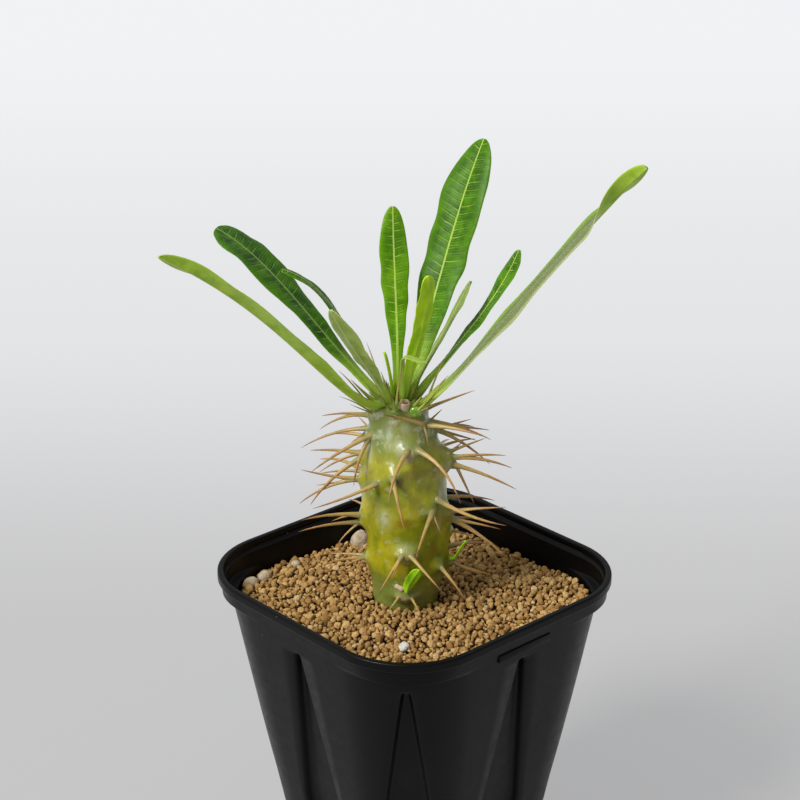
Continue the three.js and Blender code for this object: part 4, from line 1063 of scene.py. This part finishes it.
def face_offset(t, half, lateral, open_, above, way, narrow):
    """Distance of both faces from the blade's middle layer, with midrib and veins."""
    share = 0.5 if narrow else 1
    rib = RIB_HALF * (1 - RIB_TAPER * t) * share + RIB_LEAST
    ridge = np.exp(-(lateral / (rib * 0.9)) ** 2)
    rounding = EDGE_KEEPS + (1 - EDGE_KEEPS) * np.sqrt(np.clip(1 - open_ ** 8, 0, 1))
    swell = MIDDLE_SWELL * (1 - open_) + FOOT_SWELL * (1 - smoothstep(t, 0, 0.3))
    thick = (EDGE_THICKNESS + swell) * rounding
    rib_below = RIB_BELOW * (1 - RIB_BELOW_TAPER * t) * ridge * share
    dent = (0 if narrow else VEIN_DENT) * np.exp(-(vein_offset(lateral, way) / VEIN_HALF) ** 2)
    dent = dent * (1 - ridge) * smoothstep(half, 0.8, 2.2)
    return np.where(above, thick / 2 + RIB_ABOVE * ridge - dent,
                    -(thick / 2 + rib_below + dent * 0.6))


def leaf_faces(rows, columns):
    """Faces round a flat tube with closed ends, and their slots: 0 above and 1 below."""
    faces = grid_faces(rows, columns)
    last, across = (rows - 1) * columns, columns // 2
    slots = ([0] * across + [1] * across) * (rows - 1)
    for a in range(across - 1):
        b, under_a, under_b = a + 1, columns - 1 - a, columns - 2 - a
        faces.append((a, b, under_b, under_a))
        faces.append((last + b, last + a, last + under_a, last + under_b))
    return faces, np.array(slots + [0] * (len(faces) - len(slots)), dtype=np.int32)


def make_leaf(name, upper, lower, width, widest, fullness, roll, fold, turns_at, wave, control):
    narrow = width < NARROW_LEAF
    rows, half_columns, crowding = NARROW_GRID if narrow else FULL_GRID
    t = LAST_STATION * np.sin(math.pi / 2 * np.linspace(0, 1, rows)) ** crowding
    half = width / 2 * blade_shape(t, widest, fullness)
    half = half + (0 if narrow else FOOT_WIDENING) * (1 - smoothstep(t, 0.02, 0.32))
    half = half + (STOUT_WIDENING if name in STOUT_FEET else 0) * (1 - smoothstep(t, 0, 0.2))
    turned = smoothstep(t, turns_at, 1)
    angle = np.radians(roll[0] + (roll[1] - roll[0]) * turned)
    centre, side, normal = leaf_axes(t, control, angle)
    steps = np.linalg.norm(np.diff(centre, axis=0), axis=1)
    way = np.concatenate([[0], np.cumsum(steps)])[:, None]
    # Columns across the upper face, round the right edge and back under the lower face
    v = np.linspace(-1, 1, 2 * half_columns + 1)
    v = np.sign(v) * np.abs(v) ** 0.9
    across = np.concatenate([v, v[::-1]])
    open_, columns = np.abs(across), len(across)
    above = np.arange(columns) < len(v)
    stations, half = t[:, None], half[:, None]
    lateral = half * across
    offset = face_offset(stations, half, lateral, open_, above, way, narrow)
    phase = LEAF_RIPPLES * stations + np.where(across > 0, 0, LEAF_RIPPLE_SHIFT)
    ripple = wave * across ** 2 * np.sin(phase)
    frill = across ** 4 * np.sin(1.9 * phase + 3 * np.sin(0.7 * phase))
    slope = np.arctan(fold[0] + (fold[1] - fold[0]) * turned)[:, None]
    bend = half * (np.sin(slope) * open_ - LEAF_EDGE_DROP * open_ ** 3)
    bend = bend + ripple + LEAF_FRILL * (wave > 0) * frill
    uneven = np.sin(1.3 * phase + 2.1 * np.sin(0.45 * phase + width))
    reach = lateral * np.cos(slope) * (1 + LEAF_UNEVENNESS * (wave > 0) * uneven)
    points = (centre[:, None, :] + side[:, None, :] * reach[..., None]
              + normal[:, None, :] * (bend + offset)[..., None])
    faces, slots = leaf_faces(rows, columns)
    uv = np.stack([lateral, np.repeat(way, columns, 1)], axis=-1).reshape(-1, 2)
    painted = RIB_PAINT * (1 - RIB_PAINT_TAPER * t) + RIB_PAINT_LEAST
    values = {
        "open": np.tile(open_, rows),
        "rib": np.repeat(painted, columns),
        "foot": np.repeat(1 - smoothstep(t, 0.04, 0.3), columns),
    }
    leaf = add_mesh(name + "_blade", in_pot(points.reshape(-1, 3)), faces,
                    [LEAF_FACES[upper], LEAF_FACES[lower]], uv=uv, values=values, slots=slots)
    bm = bmesh.new()
    bm.from_mesh(leaf.data)
    bmesh.ops.recalc_face_normals(bm, faces=bm.faces)
    bm.to_mesh(leaf.data)
    bm.free()
    ride(leaf, "leaf", name)


# Stage

def make_stage():
    """Pale floor that grows paler with the distance behind the pot as painted light, and glows to
    paint light into the shadows on it.
    """
    m = Nodes("pale_floor", roughness=0.95, specular_ior_level=0.05)
    place = m.add("ShaderNodeTexCoord").outputs["Object"]
    dot = m.add("ShaderNodeVectorMath", {0: place, 1: (*AWAY, 0)}, operation="DOT_PRODUCT")
    behind, (near, middle, far) = dot.outputs["Value"], FLOOR_FALLOFF_COLORS
    color = m.mix(m.step(behind, 0.12, 0.45), near, middle)
    color = m.mix(m.step(behind, 0.35, 1.0), color, far)
    # Painted light: the floor glows to lift the shadows on it
    m.link(color, m.shader.inputs["Emission Color"])
    m.shader.inputs["Emission Strength"].default_value = FLOOR_PAINTED_GLOW
    m.finish(m.mix(1 - FLOOR_SHARE, color, (0, 0, 0)))
    bm = bmesh.new()
    bmesh.ops.create_grid(bm, x_segments=40, y_segments=40, size=6)
    floor = object_of(bm, "floor")
    floor.data.materials.append(m.material)


def make_world():
    """Soft surroundings, brighter above and at the left than below and at the right."""
    world = bpy.data.worlds.new("studio")
    world.use_nodes = True
    tree = world.node_tree
    sky = tree.nodes["Background"]
    dot = tree.nodes.new("ShaderNodeVectorMath")
    dot.operation = "DOT_PRODUCT"
    tree.links.new(tree.nodes.new("ShaderNodeTexCoord").outputs["Generated"], dot.inputs[0])
    dot.inputs[1].default_value = plant_place(*BRIGHT_SIDE)
    spread = tree.nodes.new("ShaderNodeMapRange")
    tree.links.new(dot.outputs["Value"], spread.inputs["Value"])
    for key, value in SURROUNDINGS.items():
        spread.inputs[key].default_value = value
    tree.links.new(spread.outputs[0], sky.inputs["Strength"])
    sky.inputs["Color"].default_value = (0.95, 0.97, 1.0, 1)
    bpy.context.scene.world = world


def make_sun():
    light = bpy.data.lights.new("key", "SUN")
    light.energy, light.angle, light.color = SUN_STRENGTH, math.radians(SUN_WIDTH), SUN_COLOR
    turn = Vector(plant_place(*SUN_TOWARD)).to_track_quat("Z", "Y")
    add_object("key", light).rotation_euler = turn.to_euler()


def plant_place(x, y, z):
    """Point of the turned frame (x right and y away in the photo's view) in the pot's."""
    c, s = math.cos(PLANT_TURN), math.sin(PLANT_TURN)
    return c * x - s * y, s * x + c * y, z


def make_camera():
    camera = bpy.data.cameras.new("camera")
    camera.lens, camera.sensor_width = CAMERA_LENS, 36
    camera.clip_start, camera.clip_end = 0.02, 30
    right, up = Vector(CAMERA_RIGHT), Vector(CAMERA_UP)
    turn = Matrix((right, up, right.cross(up))).transposed().to_4x4()
    holder = add_object("camera", camera)
    holder.matrix_world = Matrix.Translation(Vector(CAMERA_PLACE) * MM) @ turn
    bpy.context.scene.camera = holder


AWAY = plant_place(0, 1, 0)[:2]
make_camera()
make_stage()
make_world()
make_sun()
bpy.context.scene.view_settings.view_transform = "Standard"

POT_PLASTIC = pot_material()
# Grit painted dark as the shade deep in the gaps between the loose grains
GRAIN_PAINTED_SHADE = grain_material("grit_painted_shade", (0.055, 0.027, 0.009), (0.09, 0.045, 0.015),
                            (0.13, 0.07, 0.025), (0.16, 0.09, 0.035))
GRAIN = grain_material("grit", (0.30, 0.155, 0.045), (0.49, 0.285, 0.095), (0.71, 0.465, 0.19),
                       (0.78, 0.60, 0.34))
PUMICE = pumice_material("pumice", (0.55, 0.52, 0.44), (0.85, 0.84, 0.80))
PUMICE_STAINED = pumice_material("pumice_stained", (0.42, 0.31, 0.19), (0.62, 0.53, 0.40))
SKIN = skin_material()
SPINE = horn_material("spine_horn", (0.27, 0.27, 0.09), (0.50, 0.34, 0.11), (0.40, 0.21, 0.055),
                      (0.17, 0.06, 0.025))
YOUNG_HORN = horn_material("young_horn", (0.20, 0.31, 0.03), (0.28, 0.38, 0.05),
                           (0.33, 0.33, 0.08), (0.26, 0.11, 0.045))
CROWN_HORN = horn_material("crown_horn", (0.24, 0.34, 0.04), (0.36, 0.36, 0.07),
                           (0.40, 0.25, 0.06), (0.22, 0.08, 0.03))
# The stub's tip colour darkens its sunken end as painted shade in the hollow
STUB = horn_material("dry_stub", (0.50, 0.38, 0.24), (0.55, 0.42, 0.29), (0.42, 0.28, 0.18),
                     (0.05, 0.03, 0.018))
BUD = bud_material()

make_pot()
make_soil()
for number, pebble in enumerate(PEBBLES, 1):
    make_pebble(number, PUMICE if number == 4 else PUMICE_STAINED, *pebble)

make_trunk_skin()
make_spines("trunk_spines", TRUNK_TUBERCLES, 1, SPINE)
make_spines("crown_spines", CROWN_TUBERCLES, CROWN_SPINE_SHARE, CROWN_HORN)

LEAF_FACES = {look: leaf_material("leaf_" + look, *LEAF_LOOKS[look]) for look in LEAF_LOOKS}
for leaf in LEAVES:
    make_leaf(*leaf)

make_bud("crown_bud", (0.3, -5.5, 49.2), (2.0, 2.0, 2.0), 4)
make_bud("neck_bud", (-4.9, -6.9, 48.3), (0.55, 0.55, 0.6), 5)
make_stub("crown_stub", (-2.8, -5.2, 48.4), (-2.3, -6.6, 52.2), 1.35, 7)
make_bracts()
make_stub("shoot_stub", (-4.9, -9.6, -0.2), (-2.9, -10.6, -1.2), 0.85, 8)

bpy.context.view_layer.update()
